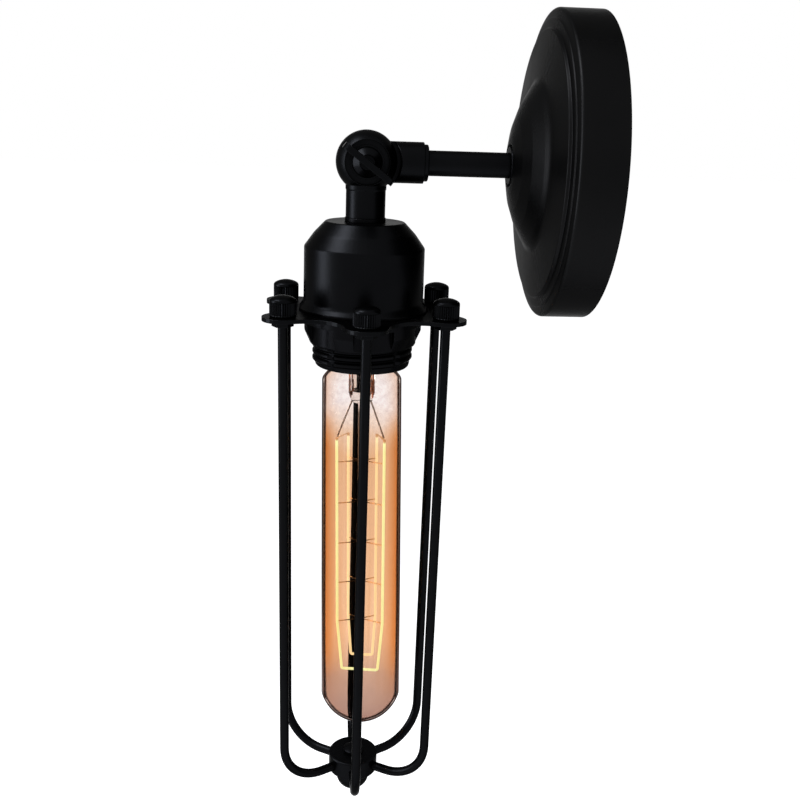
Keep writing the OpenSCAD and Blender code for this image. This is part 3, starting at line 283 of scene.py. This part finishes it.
def useGroup(tree, group, place, **values):
    block = tree.nodes.new("ShaderNodeGroup")
    block.node_tree = group
    tree.links.new(place, block.inputs["Vector"])
    for label, value in values.items():
        block.inputs[label].default_value = value
    return block.outputs


def mixColour(tree, factor, first, second):
    mix = tree.nodes.new("ShaderNodeMix")
    mix.data_type = "RGBA"
    tree.links.new(factor, mix.inputs["Factor"])
    for label, value in (("A", first), ("B", second)):
        slot = [s for s in mix.inputs if s.name == label and s.type == "RGBA"][0]
        if isinstance(value, tuple):
            slot.default_value = (*value, 1)
        else:
            tree.links.new(value, slot)
    return [s for s in mix.outputs if s.type == "RGBA"][0]


# A bump is given as its strength and its depth in metres
def addBump(tree, height, strength, depth, normal=None):
    bump = tree.nodes.new("ShaderNodeBump")
    bump.inputs["Strength"].default_value = strength
    bump.inputs["Distance"].default_value = depth
    tree.links.new(height, bump.inputs["Height"])
    if normal is not None:
        tree.links.new(normal, bump.inputs["Normal"])
    return bump.outputs[0]


# Satin paint and moulded black: dark, lit by its gloss alone, which is held low at grazing angles
def satinBlack(name, look):
    material, tree, shader = newMaterial(name)
    place = objectPlace(tree)
    grain = useGroup(tree, coatGrain, place, Grain=look["grain"])
    edge = useGroup(tree, edgeRub, place, Radius=look["edge"])
    colour = mixColour(tree, grain["Cloud"], look["dark"], look["light"])
    colour = mixColour(tree, addMath(tree, "MULTIPLY", edge["Edge"], look["rub"]), colour, look["worn"])
    tree.links.new(colour, shader.inputs["Base Color"])
    rough = addRange(tree, grain["Cloud"], (0.0, 1.0), look["rough"])
    dusty = addMath(tree, "MULTIPLY", grain["Dust"], look["dusty"])
    tree.links.new(addMath(tree, "ADD", rough, dusty), shader.inputs["Roughness"])
    shader.inputs["Metallic"].default_value = look["body"]
    shader.inputs["Specular Tint"].default_value = (look["rim"],) * 3 + (1,)
    tree.links.new(addBump(tree, grain["Height"], *look["peel"], edge["Normal"]), shader.inputs["Normal"])
    return material


# Bare or plated metal: clouded colour, worn bright at its edges, with fine tool marks
def bareMetal(name, look):
    material, tree, shader = newMaterial(name)
    place = objectPlace(tree)
    grain = useGroup(tree, coatGrain, place, Grain=look["grain"])
    edge = useGroup(tree, edgeRub, place, Radius=look["edge"])
    colour = mixColour(tree, grain["Cloud"], look["dark"], look["light"])
    colour = mixColour(tree, edge["Edge"], colour, look["worn"])
    if "darkMiddle" in look:      # dark round the bulb's middle, bright towards the thread
        shift = tree.nodes.new("ShaderNodeVectorMath")
        shift.operation = "MULTIPLY_ADD"
        tree.links.new(place, shift.inputs[0])
        shift.inputs[1].default_value, shift.inputs[2].default_value = (1, 1, 0), (0, -pivot.y, 0)
        away = tree.nodes.new("ShaderNodeVectorMath")
        away.operation = "LENGTH"
        tree.links.new(shift.outputs[0], away.inputs[0])
        middleDark = addRange(tree, away.outputs["Value"], look["darkMiddleZone"], (1.0, 0.0))
        colour = mixColour(tree, middleDark, colour, look["darkMiddle"])
    tree.links.new(colour, shader.inputs["Base Color"])
    rough = addRange(tree, grain["Cloud"], (0.0, 1.0), look["rough"])
    tree.links.new(rough, shader.inputs["Roughness"])
    shader.inputs["Metallic"].default_value = 1
    tree.links.new(addBump(tree, grain["Height"], *look["marks"], edge["Normal"]), shader.inputs["Normal"])
    return material


# Glazed porcelain: off-white body, a few dark specks, and a wavy clear glaze
def glazedPorcelain(name, look):
    material, tree, shader = newMaterial(name)
    place = objectPlace(tree)
    grain = useGroup(tree, coatGrain, place, Grain=look["grain"])
    colour = mixColour(tree, grain["Cloud"], look["dark"], look["light"])
    specks = addMath(tree, "MULTIPLY", grain["Dust"], look["speckShare"])
    colour = mixColour(tree, specks, colour, look["speck"])
    tree.links.new(colour, shader.inputs["Base Color"])
    rough = addRange(tree, grain["Cloud"], (0.0, 1.0), look["rough"])
    tree.links.new(rough, shader.inputs["Roughness"])
    shader.inputs["Coat Weight"].default_value = look["glaze"]
    shader.inputs["Coat Roughness"].default_value = look["glazeRough"]
    tree.links.new(addBump(tree, grain["Height"], *look["wave"]), shader.inputs["Normal"])
    return material


# Wire sleeve: soft plastic in one colour, or with bands of a second one
def wireSleeve(name, look):
    material, tree, shader = newMaterial(name)
    place = objectPlace(tree)
    grain = useGroup(tree, coatGrain, place, Grain=look["grain"])
    colour = mixColour(tree, grain["Cloud"], look["dark"], look["light"])
    if "band" in look:
        bands = tree.nodes.new("ShaderNodeTexWave")
        bands.bands_direction = "DIAGONAL"
        bands.inputs["Scale"].default_value = look["bandScale"]
        tree.links.new(place, bands.inputs["Vector"])
        striped = addRange(tree, bands.outputs["Fac"], look["bandEdge"])
        colour = mixColour(tree, striped, colour, look["band"])
    tree.links.new(colour, shader.inputs["Base Color"])
    rough = addRange(tree, grain["Cloud"], (0.0, 1.0), look["rough"])
    tree.links.new(rough, shader.inputs["Roughness"])
    tree.links.new(addBump(tree, grain["Height"], *look["peel"]), shader.inputs["Normal"])
    return material


# Amber glass: pale under the cap, greyer and darker at its tip, deeper at the sides, and nearly black at its
# outline, a painted dark reflection
def amberGlass(name, look):
    material, tree, shader = newMaterial(name)
    place = objectPlace(tree)
    uneven = addMath(tree, "SUBTRACT", addNoise(tree, place, *look["waverNoise"]), 0.5)
    waver = addMath(tree, "MULTIPLY", uneven, look["waver"])
    height = addMath(tree, "ADD", splitPlace(tree, place)["Z"], waver)
    facing = tree.nodes.new("ShaderNodeLayerWeight").outputs["Facing"]
    drawn = tree.nodes.new("ShaderNodeMapping")       # long streaks from the drawing of the tube
    drawn.inputs["Scale"].default_value = look["streakShape"]
    tree.links.new(place, drawn.inputs["Vector"])
    streaks = addRange(tree, addNoise(tree, drawn.outputs[0], *look["streakNoise"]), look["streakZone"])
    colour = mixColour(tree, streaks, look["body"], look["streak"])
    frost = addRange(tree, addNoise(tree, place, *look["frostNoise"]), look["frostZone"])
    pale = mixColour(tree, frost, look["pale"], look["frost"])
    colour = mixColour(tree, addRange(tree, height, look["paleZone"]), colour, pale)
    side = addMath(tree, "MULTIPLY", addRange(tree, facing, look["sideZone"]),
                   addRange(tree, height, look["paleZone"], (1.0, look["paleSide"])))
    colour = mixColour(tree, side, colour, look["side"])
    # greyer and darker towards the tip
    tipTone = addRange(tree, height, look["tipToneZone"], (0.0, look["tipToneShare"]))
    colour = mixColour(tree, tipTone, colour, look["tipTone"])
    # painted dark reflection: the glass turns nearly black where it is seen edge on
    colour = mixColour(tree, addRange(tree, facing, look["outlineZone"]), colour, look["outline"])
    tree.links.new(colour, shader.inputs["Base Color"])
    shader.inputs["Roughness"].default_value = look["rough"]
    shader.inputs["Transmission Weight"].default_value = 1
    shader.inputs["IOR"].default_value = look["bend"]
    waves = addNoise(tree, place, *look["waveNoise"])
    tree.links.new(addBump(tree, waves, *look["wave"]), shader.inputs["Normal"])
    return material


# Glass of the flare and press, darker down the rod
def stemGlass(name, look):
    material, tree, shader = newMaterial(name)
    place = objectPlace(tree)
    cloudy = addNoise(tree, place, *look["cloudNoise"])
    colour = mixColour(tree, cloudy, look["dark"], look["light"])
    alongRod = addRange(tree, splitPlace(tree, place)["Z"], look["rodZone"])
    colour = mixColour(tree, alongRod, colour, look["rod"])
    tree.links.new(colour, shader.inputs["Base Color"])
    shader.inputs["Roughness"].default_value = look["rough"]
    shader.inputs["Transmission Weight"].default_value = 1
    shader.inputs["IOR"].default_value = look["bend"]
    tree.links.new(addBump(tree, cloudy, *look["wave"]), shader.inputs["Normal"])
    return material


# Glowing carbon thread: fine coils along its length, hottest on the front loop, cold where the leads hold it
def glowingThread(name, look):
    material, tree, shader = newMaterial(name)
    place = objectPlace(tree)
    split = splitPlace(tree, place)
    coils = tree.nodes.new("ShaderNodeTexWave")
    coils.bands_direction = "Z"
    coils.inputs["Scale"].default_value = look["coils"]
    tree.links.new(place, coils.inputs["Vector"])
    heat = addMath(tree, "MULTIPLY", coils.outputs["Fac"], addNoise(tree, place, *look["heatNoise"]))
    colour = mixColour(tree, heat, look["hot"], look["cooler"])
    colour = mixColour(tree, addRange(tree, split["X"], look["rearZone"]), colour, look["rear"])
    colour = mixColour(tree, addRange(tree, split["Z"], look["coldZone"]), colour, look["cold"])
    tree.links.new(colour, shader.inputs["Emission Color"])
    shader.inputs["Emission Strength"].default_value = look["strength"]
    shader.inputs["Base Color"].default_value = (*look["unlit"], 1)
    tree.links.new(addBump(tree, coils.outputs["Fac"], *look["coilDepth"]), shader.inputs["Normal"])
    return material


# Paint and metal: edge is the radius of their soft corners in metres, and worn the colour rubbed on them.
# rough goes from the dark clouds to the light ones; rim is how much gloss is left at grazing angles.
platePaint = {
    "dark": (0.0052, 0.0053, 0.0056), "light": (0.0064, 0.0064, 0.0067), "worn": (0.024, 0.024, 0.024),
    "body": 0.945, "rough": (0.35, 0.42), "dusty": 0.12, "grain": 1500, "edge": 0.0004, "rub": 0.3,
    "rim": 0.3, "peel": (0.15, 0.0002),
}
blackPaint = {
    "dark": (0.0034, 0.0036, 0.0042), "light": (0.0044, 0.0046, 0.0052), "worn": (0.02, 0.02, 0.022),
    "body": 0.95, "rough": (0.29, 0.36), "dusty": 0.12, "grain": 1800, "edge": 0.0004, "rub": 0.3,
    "rim": 0.3, "peel": (0.15, 0.0002),
}
knurledPaint = {**blackPaint, "edge": 0.00005, "body": 0.955}
mouldedBlack = {
    "dark": (0.0036, 0.0037, 0.0042), "light": (0.0048, 0.0049, 0.0056), "worn": (0.012, 0.012, 0.013),
    "body": 0.97, "rough": (0.31, 0.38), "dusty": 0.12, "grain": 2400, "edge": 0.0003, "rub": 0.2,
    "rim": 0.3, "peel": (0.1, 0.0002),
}
zincSteel = {
    "dark": (0.42, 0.43, 0.44), "light": (0.6, 0.61, 0.62), "worn": (0.72, 0.73, 0.74),
    "rough": (0.44, 0.31), "grain": 1300, "edge": 0.0003, "marks": (0.2, 0.0001),
}
brassMetal = {
    "dark": (0.42, 0.29, 0.12), "light": (0.7, 0.51, 0.24), "worn": (0.83, 0.64, 0.34),
    "rough": (0.38, 0.25), "grain": 1600, "edge": 0.0003, "marks": (0.15, 0.0001),
}
leadWire = {
    "dark": (0.18, 0.13, 0.1), "light": (0.3, 0.23, 0.18), "worn": (0.35, 0.27, 0.2),
    "rough": (0.58, 0.45), "grain": 3000, "edge": 0.0001, "marks": (0.1, 0.0001),
}
supportWire = {
    "dark": (0.75, 0.5, 0.3), "light": (0.95, 0.7, 0.45), "worn": (0.95, 0.75, 0.5),
    "rough": (0.58, 0.45), "grain": 3000, "edge": 0.0001, "marks": (0.1, 0.0001),
    "darkMiddle": (0.03, 0.02, 0.012), "darkMiddleZone": (0.0035, 0.006),     # metres from the bulb's middle
}
copperWrap = {
    "dark": (0.08, 0.022, 0.01), "light": (0.38, 0.14, 0.06), "worn": (0.6, 0.28, 0.14),
    "rough": (0.43, 0.3), "grain": 2600, "edge": 0.0001, "marks": (0.2, 0.0001),
}
porcelain = {
    "dark": (0.74, 0.72, 0.67), "light": (0.83, 0.82, 0.78), "speck": (0.2, 0.17, 0.13), "speckShare": 0.6,
    "rough": (0.3, 0.42), "glaze": 0.8, "glazeRough": 0.08, "grain": 1400, "wave": (0.08, 0.0002),
}
sleevePlastic = {"rough": (0.38, 0.5), "grain": 2600, "peel": (0.1, 0.0001)}
liveSleeve = {**sleevePlastic, "dark": (0.09, 0.035, 0.015), "light": (0.14, 0.06, 0.03)}
neutralSleeve = {**sleevePlastic, "dark": (0.015, 0.05, 0.24), "light": (0.03, 0.08, 0.34)}
earthSleeve = {
    **sleevePlastic, "dark": (0.06, 0.27, 0.04), "light": (0.1, 0.36, 0.06),
    "band": (0.75, 0.6, 0.04), "bandScale": 120, "bandEdge": (0.45, 0.55),
}
bulbGlass = {
    "body": (0.79, 0.57, 0.4), "streak": (0.83, 0.64, 0.5),
    "pale": (0.94, 0.9, 0.88), "frost": (0.83, 0.76, 0.75), "paleSide": 0.35,
    "tipTone": (0.52, 0.41, 0.38), "tipToneShare": 0.85,
    # outline is the colour of the painted dark reflection round the glass's edge
    "side": (0.71, 0.39, 0.19), "outline": (0.008, 0.002, 0.001),
    "paleZone": (-0.118, -0.104), "tipToneZone": (-0.216, -0.24),     # heights over which the colour changes
    "sideZone": (0.2, 0.58), "outlineZone": (0.635, 0.72),          # 0 seen square on, 1 seen edge on
    "waver": 0.012, "waverNoise": (60, 3),                          # how far the heights waver, in metres
    "streakShape": (1, 1, 0.02), "streakNoise": (520, 3), "streakZone": (0.35, 0.65),
    "frostNoise": (480, 4, 0.6), "frostZone": (0.4, 0.65),
    "rough": 0.01, "bend": 1.02, "wave": (0.15, 0.0008), "waveNoise": (34, 2),
}
bulbStem = {
    "dark": (0.8, 0.68, 0.58), "light": (0.97, 0.94, 0.92), "cloudNoise": (260, 3),
    "rod": (0.2, 0.16, 0.13), "rodZone": (-0.1, -0.104),
    "rough": 0.03, "bend": 1.12, "wave": (0.2, 0.0003),
}
hotThread = {
    "hot": (0.7, 1.0, 0.62), "cooler": (0.62, 0.76, 0.38), "heatNoise": (150, 3),
    "rear": (0.72, 0.69, 0.45), "rearZone": (0.002, -0.002),
    "cold": (0.35, 0.2, 0.1), "coldZone": (-0.1163, -0.1154),
    "unlit": (0.2, 0.12, 0.06), "strength": 1.5, "coils": 900, "coilDepth": (0.4, 0.0002),
}

finishes = {
    "plate_paint": satinBlack("platePaint", platePaint),
    "black_paint": satinBlack("blackPaint", blackPaint),
    "moulded_black": satinBlack("mouldedBlack", mouldedBlack),
    "zinc_steel": bareMetal("zincSteel", zincSteel),
    "brass_metal": bareMetal("brassMetal", brassMetal),
    "porcelain_white": glazedPorcelain("porcelain", porcelain),
    "amber_glass": amberGlass("amberGlass", bulbGlass),
    "stem_glass": stemGlass("stemGlass", bulbStem),
    "hot_wire": glowingThread("hotThread", hotThread),
    "live_wire": wireSleeve("liveWire", liveSleeve),
    "neutral_wire": wireSleeve("neutralWire", neutralSleeve),
    "earth_wire": wireSleeve("earthWire", earthSleeve),
}
ownFinish = {
    "bulb_leads": bareMetal("leadWire", leadWire),
    "bulb_supports": bareMetal("supportWire", supportWire),
}
for part in frame["record"]["subparts"]:
    mesh = nodes[part["node"]].data
    mesh.materials.clear()
    mesh.materials.append(ownFinish.get(part["node"], finishes[part["material_slot"]]))
print("finishes given")


# Gives a finished bmesh its object, finish and body. It rides as its model node does, and either
# takes that node's place or joins it
def finishPiece(name, shape, model, slot, inPlace=True, material=None):
    mesh = bpy.data.meshes.new(name)
    bmesh.ops.recalc_face_normals(shape, faces=shape.faces)
    shape.to_mesh(mesh)
    shape.free()
    mesh.shade_smooth()
    mesh.set_sharp_from_angle(angle=sharpFrom)
    piece = bpy.data.objects.new(name, mesh)
    bpy.context.scene.collection.objects.link(piece)
    mesh.materials.append(material or finishes[slot])
    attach(piece, nodes[model]["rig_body"])
    if inPlace:
        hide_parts(model)
    print("made", name, "with", len(mesh.polygons), "faces")


# Turns an outline of [radius, height] in millimetres about a vertical axis; a rise makes it a thread
def turnOutline(shape, outline, centre, steps, closed=True, start=0, angle=360, rise=0.0):
    corners = [shape.verts.new((radius / 1000, 0, height / 1000)) for radius, height in outline]
    pairs = list(zip(corners, corners[1:])) + ([(corners[-1], corners[0])] if closed else [])
    lines = [shape.edges.new(pair) for pair in pairs]
    turn = Matrix.Rotation(math.radians(start), 3, "Z")
    bmesh.ops.rotate(shape, cent=(0, 0, 0), matrix=turn, verts=corners)
    bmesh.ops.translate(shape, vec=centre, verts=corners)
    bmesh.ops.spin(shape, geom=corners + lines, cent=centre, axis=(0, 0, 1), angle=math.radians(angle),
                   dvec=(0, 0, rise / 1000 / steps), steps=steps, use_merge=angle == 360 and rise == 0)


def openEdges(shape):
    return [edge for edge in shape.edges if edge.is_boundary]


# The way out from a vertical axis, and the angle round it in degrees
def roundPlace(point, centre):
    away = Vector((point.x - centre.x, point.y - centre.y, 0))
    return away, math.degrees(math.atan2(away.y, away.x)) % 360


skirt = {
    # outlines in millimetres from the pivot: the moulding, then the section of its thread
    "body": [[17.45, -48.3], [18.7, -48.3], [19.05, -48.65], [19.05, -56.3], [22.9, -56.3], [23.1, -56.5],
             [23.1, -59.3], [19.8, -59.3], [19.8, -80.6], [19.75, -81.3], [19.5, -82.2], [19.2, -82.5],
             [15.6, -82.5], [15.3, -82.2], [15.3, -57.1], [17.45, -57.1]],
    "ridge": [[19.4, 1.33], [19.8, 1.28], [20.55, 0.75], [20.8, 0.4], [20.8, -0.4], [20.55, -0.75],
              [19.8, -1.28], [19.4, -1.33]],
    "steps": 96,
    "lowest": -79.0,           # height of the lowest ridge where it faces +X
    "start": 180,              # degrees from +X at which the thread starts
    "pitch": 2.8, "turns": 6.6, "stepsPerTurn": 72,
    "fade": 30,                # degrees over which each end of the thread rises
    "notches": (-38, 41, 142, 221), "notchHalf": 2.6,      # where the thread is cut through, in degrees
    "rootRadius": 19.7,
}


def makeSkirt(spec):
    shape = bmesh.new()
    turnOutline(shape, spec["body"], pivot, spec["steps"])
    bodyCorners = set(shape.verts)
    start, whole = spec["start"], spec["turns"] * 360
    low = spec["lowest"] - spec["pitch"] / 2
    ridge = [[radius, height + low] for radius, height in spec["ridge"]]
    turnOutline(shape, ridge, pivot, int(spec["turns"] * spec["stepsPerTurn"]),
                start=start, angle=whole, rise=spec["turns"] * spec["pitch"])
    root = spec["rootRadius"] / 1000
    for corner in [c for c in shape.verts if c not in bodyCorners]:
        away, angle = roundPlace(corner.co, pivot)
        along = (angle - start) % 360
        along += 360 * round((corner.co.z * 1000 - low) / spec["pitch"] - along / 360)
        keep = max(0, min(1, along / spec["fade"], (whole - along) / spec["fade"]))
        if min(abs((angle - notch + 180) % 360 - 180) for notch in spec["notches"]) < spec["notchHalf"]:
            keep = 0
        if away.length > root:
            corner.co -= away.normalized() * (away.length - root) * (1 - keep)
    bmesh.ops.holes_fill(shape, edges=openEdges(shape), sides=len(spec["ridge"]))
    finishPiece("threadedSkirt", shape, "holder_skirt", "moulded_black")


capNut = {
    # outline in millimetres from the middle of its foot: blind hole, side and dome
    "outline": [[0, 5.0], [2.05, 5.0], [2.05, 0], [4.9, 0], [5.15, 0.12], [5.3, 0.45], [5.3, 0.7],
                [5.3, 0.95], [5.3, 5.75], [5.3, 6.0], [5.28, 6.4], [5.1, 6.85], [4.75, 7.2], [4.1, 7.6],
                [3.1, 8.0], [1.7, 8.35], [0, 8.5]],
    "flutes": 32, "fluteDepth": 0.4, "fluteFrom": 0.9, "fluteTo": 5.8,
    "fluteOutside": 4,                           # nearer to its middle than this lies the blind hole
    "count": 6, "circle": 37.3, "seat": -59.3,   # round the lampholder, and the height of their feet
}


def makeCapNuts(spec):
    shape = bmesh.new()
    steps = spec["flutes"] * 2
    for place in range(spec["count"]):
        turn = math.radians(place * 360 / spec["count"])
        outward = Vector((math.cos(turn), math.sin(turn), 0))
        centre = pivot + (outward * spec["circle"] + Vector((0, 0, spec["seat"]))) / 1000
        before = set(shape.verts)
        turnOutline(shape, spec["outline"], centre, steps, closed=False)
        for corner in [c for c in shape.verts if c not in before]:
            away, angle = roundPlace(corner.co, centre)
            height = (corner.co.z - centre.z) * 1000
            fluted = spec["fluteFrom"] <= height <= spec["fluteTo"] and round(angle * steps / 360) % 2
            if fluted and away.length * 1000 > spec["fluteOutside"]:
                corner.co -= away.normalized() * spec["fluteDepth"] / 1000
    bmesh.ops.remove_doubles(shape, verts=shape.verts, dist=mergeWithin)
    finishPiece("knurledCaps", shape, "cap_nuts", "black_paint",
                material=satinBlack("knurledPaint", knurledPaint))


bulbLean = {"angle": 1, "from": -81.6}      # the bulb hangs a little towards the wall, below this height


def leanTheBulb(shape, spec):
    bmesh.ops.rotate(shape, cent=pivot + Vector((0, 0, spec["from"] / 1000)),
                     matrix=Matrix.Rotation(math.radians(spec["angle"]), 3, "X"), verts=shape.verts)


glassTube = {
    # outline in millimetres from the pivot: up the outside from the tip, over the mouth and down the inside
    "outline": [
        [0, -251.7], [1.75, -251.62], [3.48, -251.37], [5.18, -250.97], [6.83, -250.4], [8.42, -249.68],
        [9.94, -248.82], [11.38, -247.82], [12.71, -246.68], [13.93, -245.43], [15.02, -244.07],
        [15.98, -242.61], [16.81, -241.07], [17.48, -239.46], [18, -237.79], [17.6, -180], [17.1, -120],
        [16.75, -89.8], [16.72, -89.2], [16.6, -88.7], [16.35, -88.2], [16, -87.75], [15.5, -87.1],
        [14.6, -86.1], [13.6, -85.15], [13, -84.6], [12.8, -84.3], [12.65, -83.9], [12.6, -83.4],
        [12.6, -80.3], [12.5, -80.1], [11.8, -80.1], [11.7, -80.3], [11.7, -84.1], [11.8, -84.4],
        [12.1, -84.8], [13, -85.6], [13.9, -86.45], [14.8, -87.35], [15.4, -88.1], [15.7, -88.7],
        [15.85, -89.5], [16.2, -120], [16.7, -180], [17.1, -237.67], [16.6, -239.25], [15.95, -240.77],
        [15.17, -242.23], [14.25, -243.6], [13.2, -244.89], [12.04, -246.07], [10.78, -247.14],
        [9.42, -248.08], [7.98, -248.9], [6.47, -249.58], [4.9, -250.11], [3.29, -250.49], [1.65, -250.72],
        [0, -250.8]],
    "steps": 128,
}


def makeGlassTube(spec):
    shape = bmesh.new()
    turnOutline(shape, spec["outline"], pivot, spec["steps"], closed=False)
    bmesh.ops.remove_doubles(shape, verts=shape.verts, dist=mergeWithin)
    leanTheBulb(shape, bulbLean)
    finishPiece("glassTube", shape, "bulb_glass", "amber_glass")


leadPost = {
    # the wires inside the stem, in millimetres from the pivot
    "side": 4.3, "from": -97.5, "to": -79, "radius": 0.5, "sides": 16,
    # the copper wrapped round each: radius of the coil and of its wire, turns, foot and rise
    "wrapRadius": 0.75, "wrapWire": 0.25, "wrapSides": 8, "wrapTurns": 9, "stepsPerTurn": 20,
    "wrapFrom": -96, "wrapRise": 6.5,
    "turn": -9,     # degrees, as the filament stands
}


def makeLeadPosts(spec):
    shape = bmesh.new()
    radius, length = spec["radius"] / 1000, (spec["to"] - spec["from"]) / 1000
    angles = [2 * math.pi * corner / spec["wrapSides"] for corner in range(spec["wrapSides"])]
    wire = [[spec["wrapRadius"] + spec["wrapWire"] * math.cos(angle),
             spec["wrapFrom"] + spec["wrapWire"] * math.sin(angle)] for angle in angles]
    for side in (-1, 1):
        centre = pivot + Vector((0, side * spec["side"] / 1000, 0))
        post = bmesh.ops.create_cone(shape, cap_ends=True, segments=spec["sides"], radius1=radius,
                                     radius2=radius, depth=length)["verts"]
        middle = centre + Vector((0, 0, spec["from"] / 1000 + length / 2))
        bmesh.ops.translate(shape, vec=middle, verts=post)
        turnOutline(shape, wire, centre, spec["wrapTurns"] * spec["stepsPerTurn"],
                    angle=spec["wrapTurns"] * 360, rise=spec["wrapRise"])
    bmesh.ops.holes_fill(shape, edges=openEdges(shape), sides=spec["wrapSides"])
    turn = Matrix.Rotation(math.radians(spec["turn"]), 3, "Z")
    bmesh.ops.rotate(shape, cent=pivot, matrix=turn, verts=shape.verts)
    leanTheBulb(shape, bulbLean)
    finishPiece("leadPosts", shape, "bulb_stem", "brass_metal", inPlace=False,
                material=bareMetal("copperWrap", copperWrap))


makeSkirt(skirt)
makeCapNuts(capNut)
makeGlassTube(glassTube)
makeLeadPosts(leadPost)


def makeFloor(spec):
    mesh = bpy.data.meshes.new("floor")
    shape = bmesh.new()
    bmesh.ops.create_grid(shape, x_segments=1, y_segments=1, size=spec["floorSize"])
    bmesh.ops.translate(shape, vec=(0, 0, cadLow.z - spec["floorDrop"]), verts=shape.verts)
    shape.to_mesh(mesh)
    shape.free()
    floor = bpy.data.objects.new("floor", mesh)
    bpy.context.scene.collection.objects.link(floor)
    material, tree, shader = newMaterial("floorPaint")
    shader.inputs["Base Color"].default_value = (*spec["floorColour"], 1)
    shader.inputs["Roughness"].default_value = spec["floorRough"]
    shader.inputs["Specular IOR Level"].default_value = 0
    shader.inputs["Emission Color"].default_value = (1, 1, 1, 1)
    white = addMath(tree, "MULTIPLY", seenRays(tree), spec["floorWhite"])
    tree.links.new(white, shader.inputs["Emission Strength"])
    mesh.materials.append(material)
    print("floor laid")


makeFloor(studio)
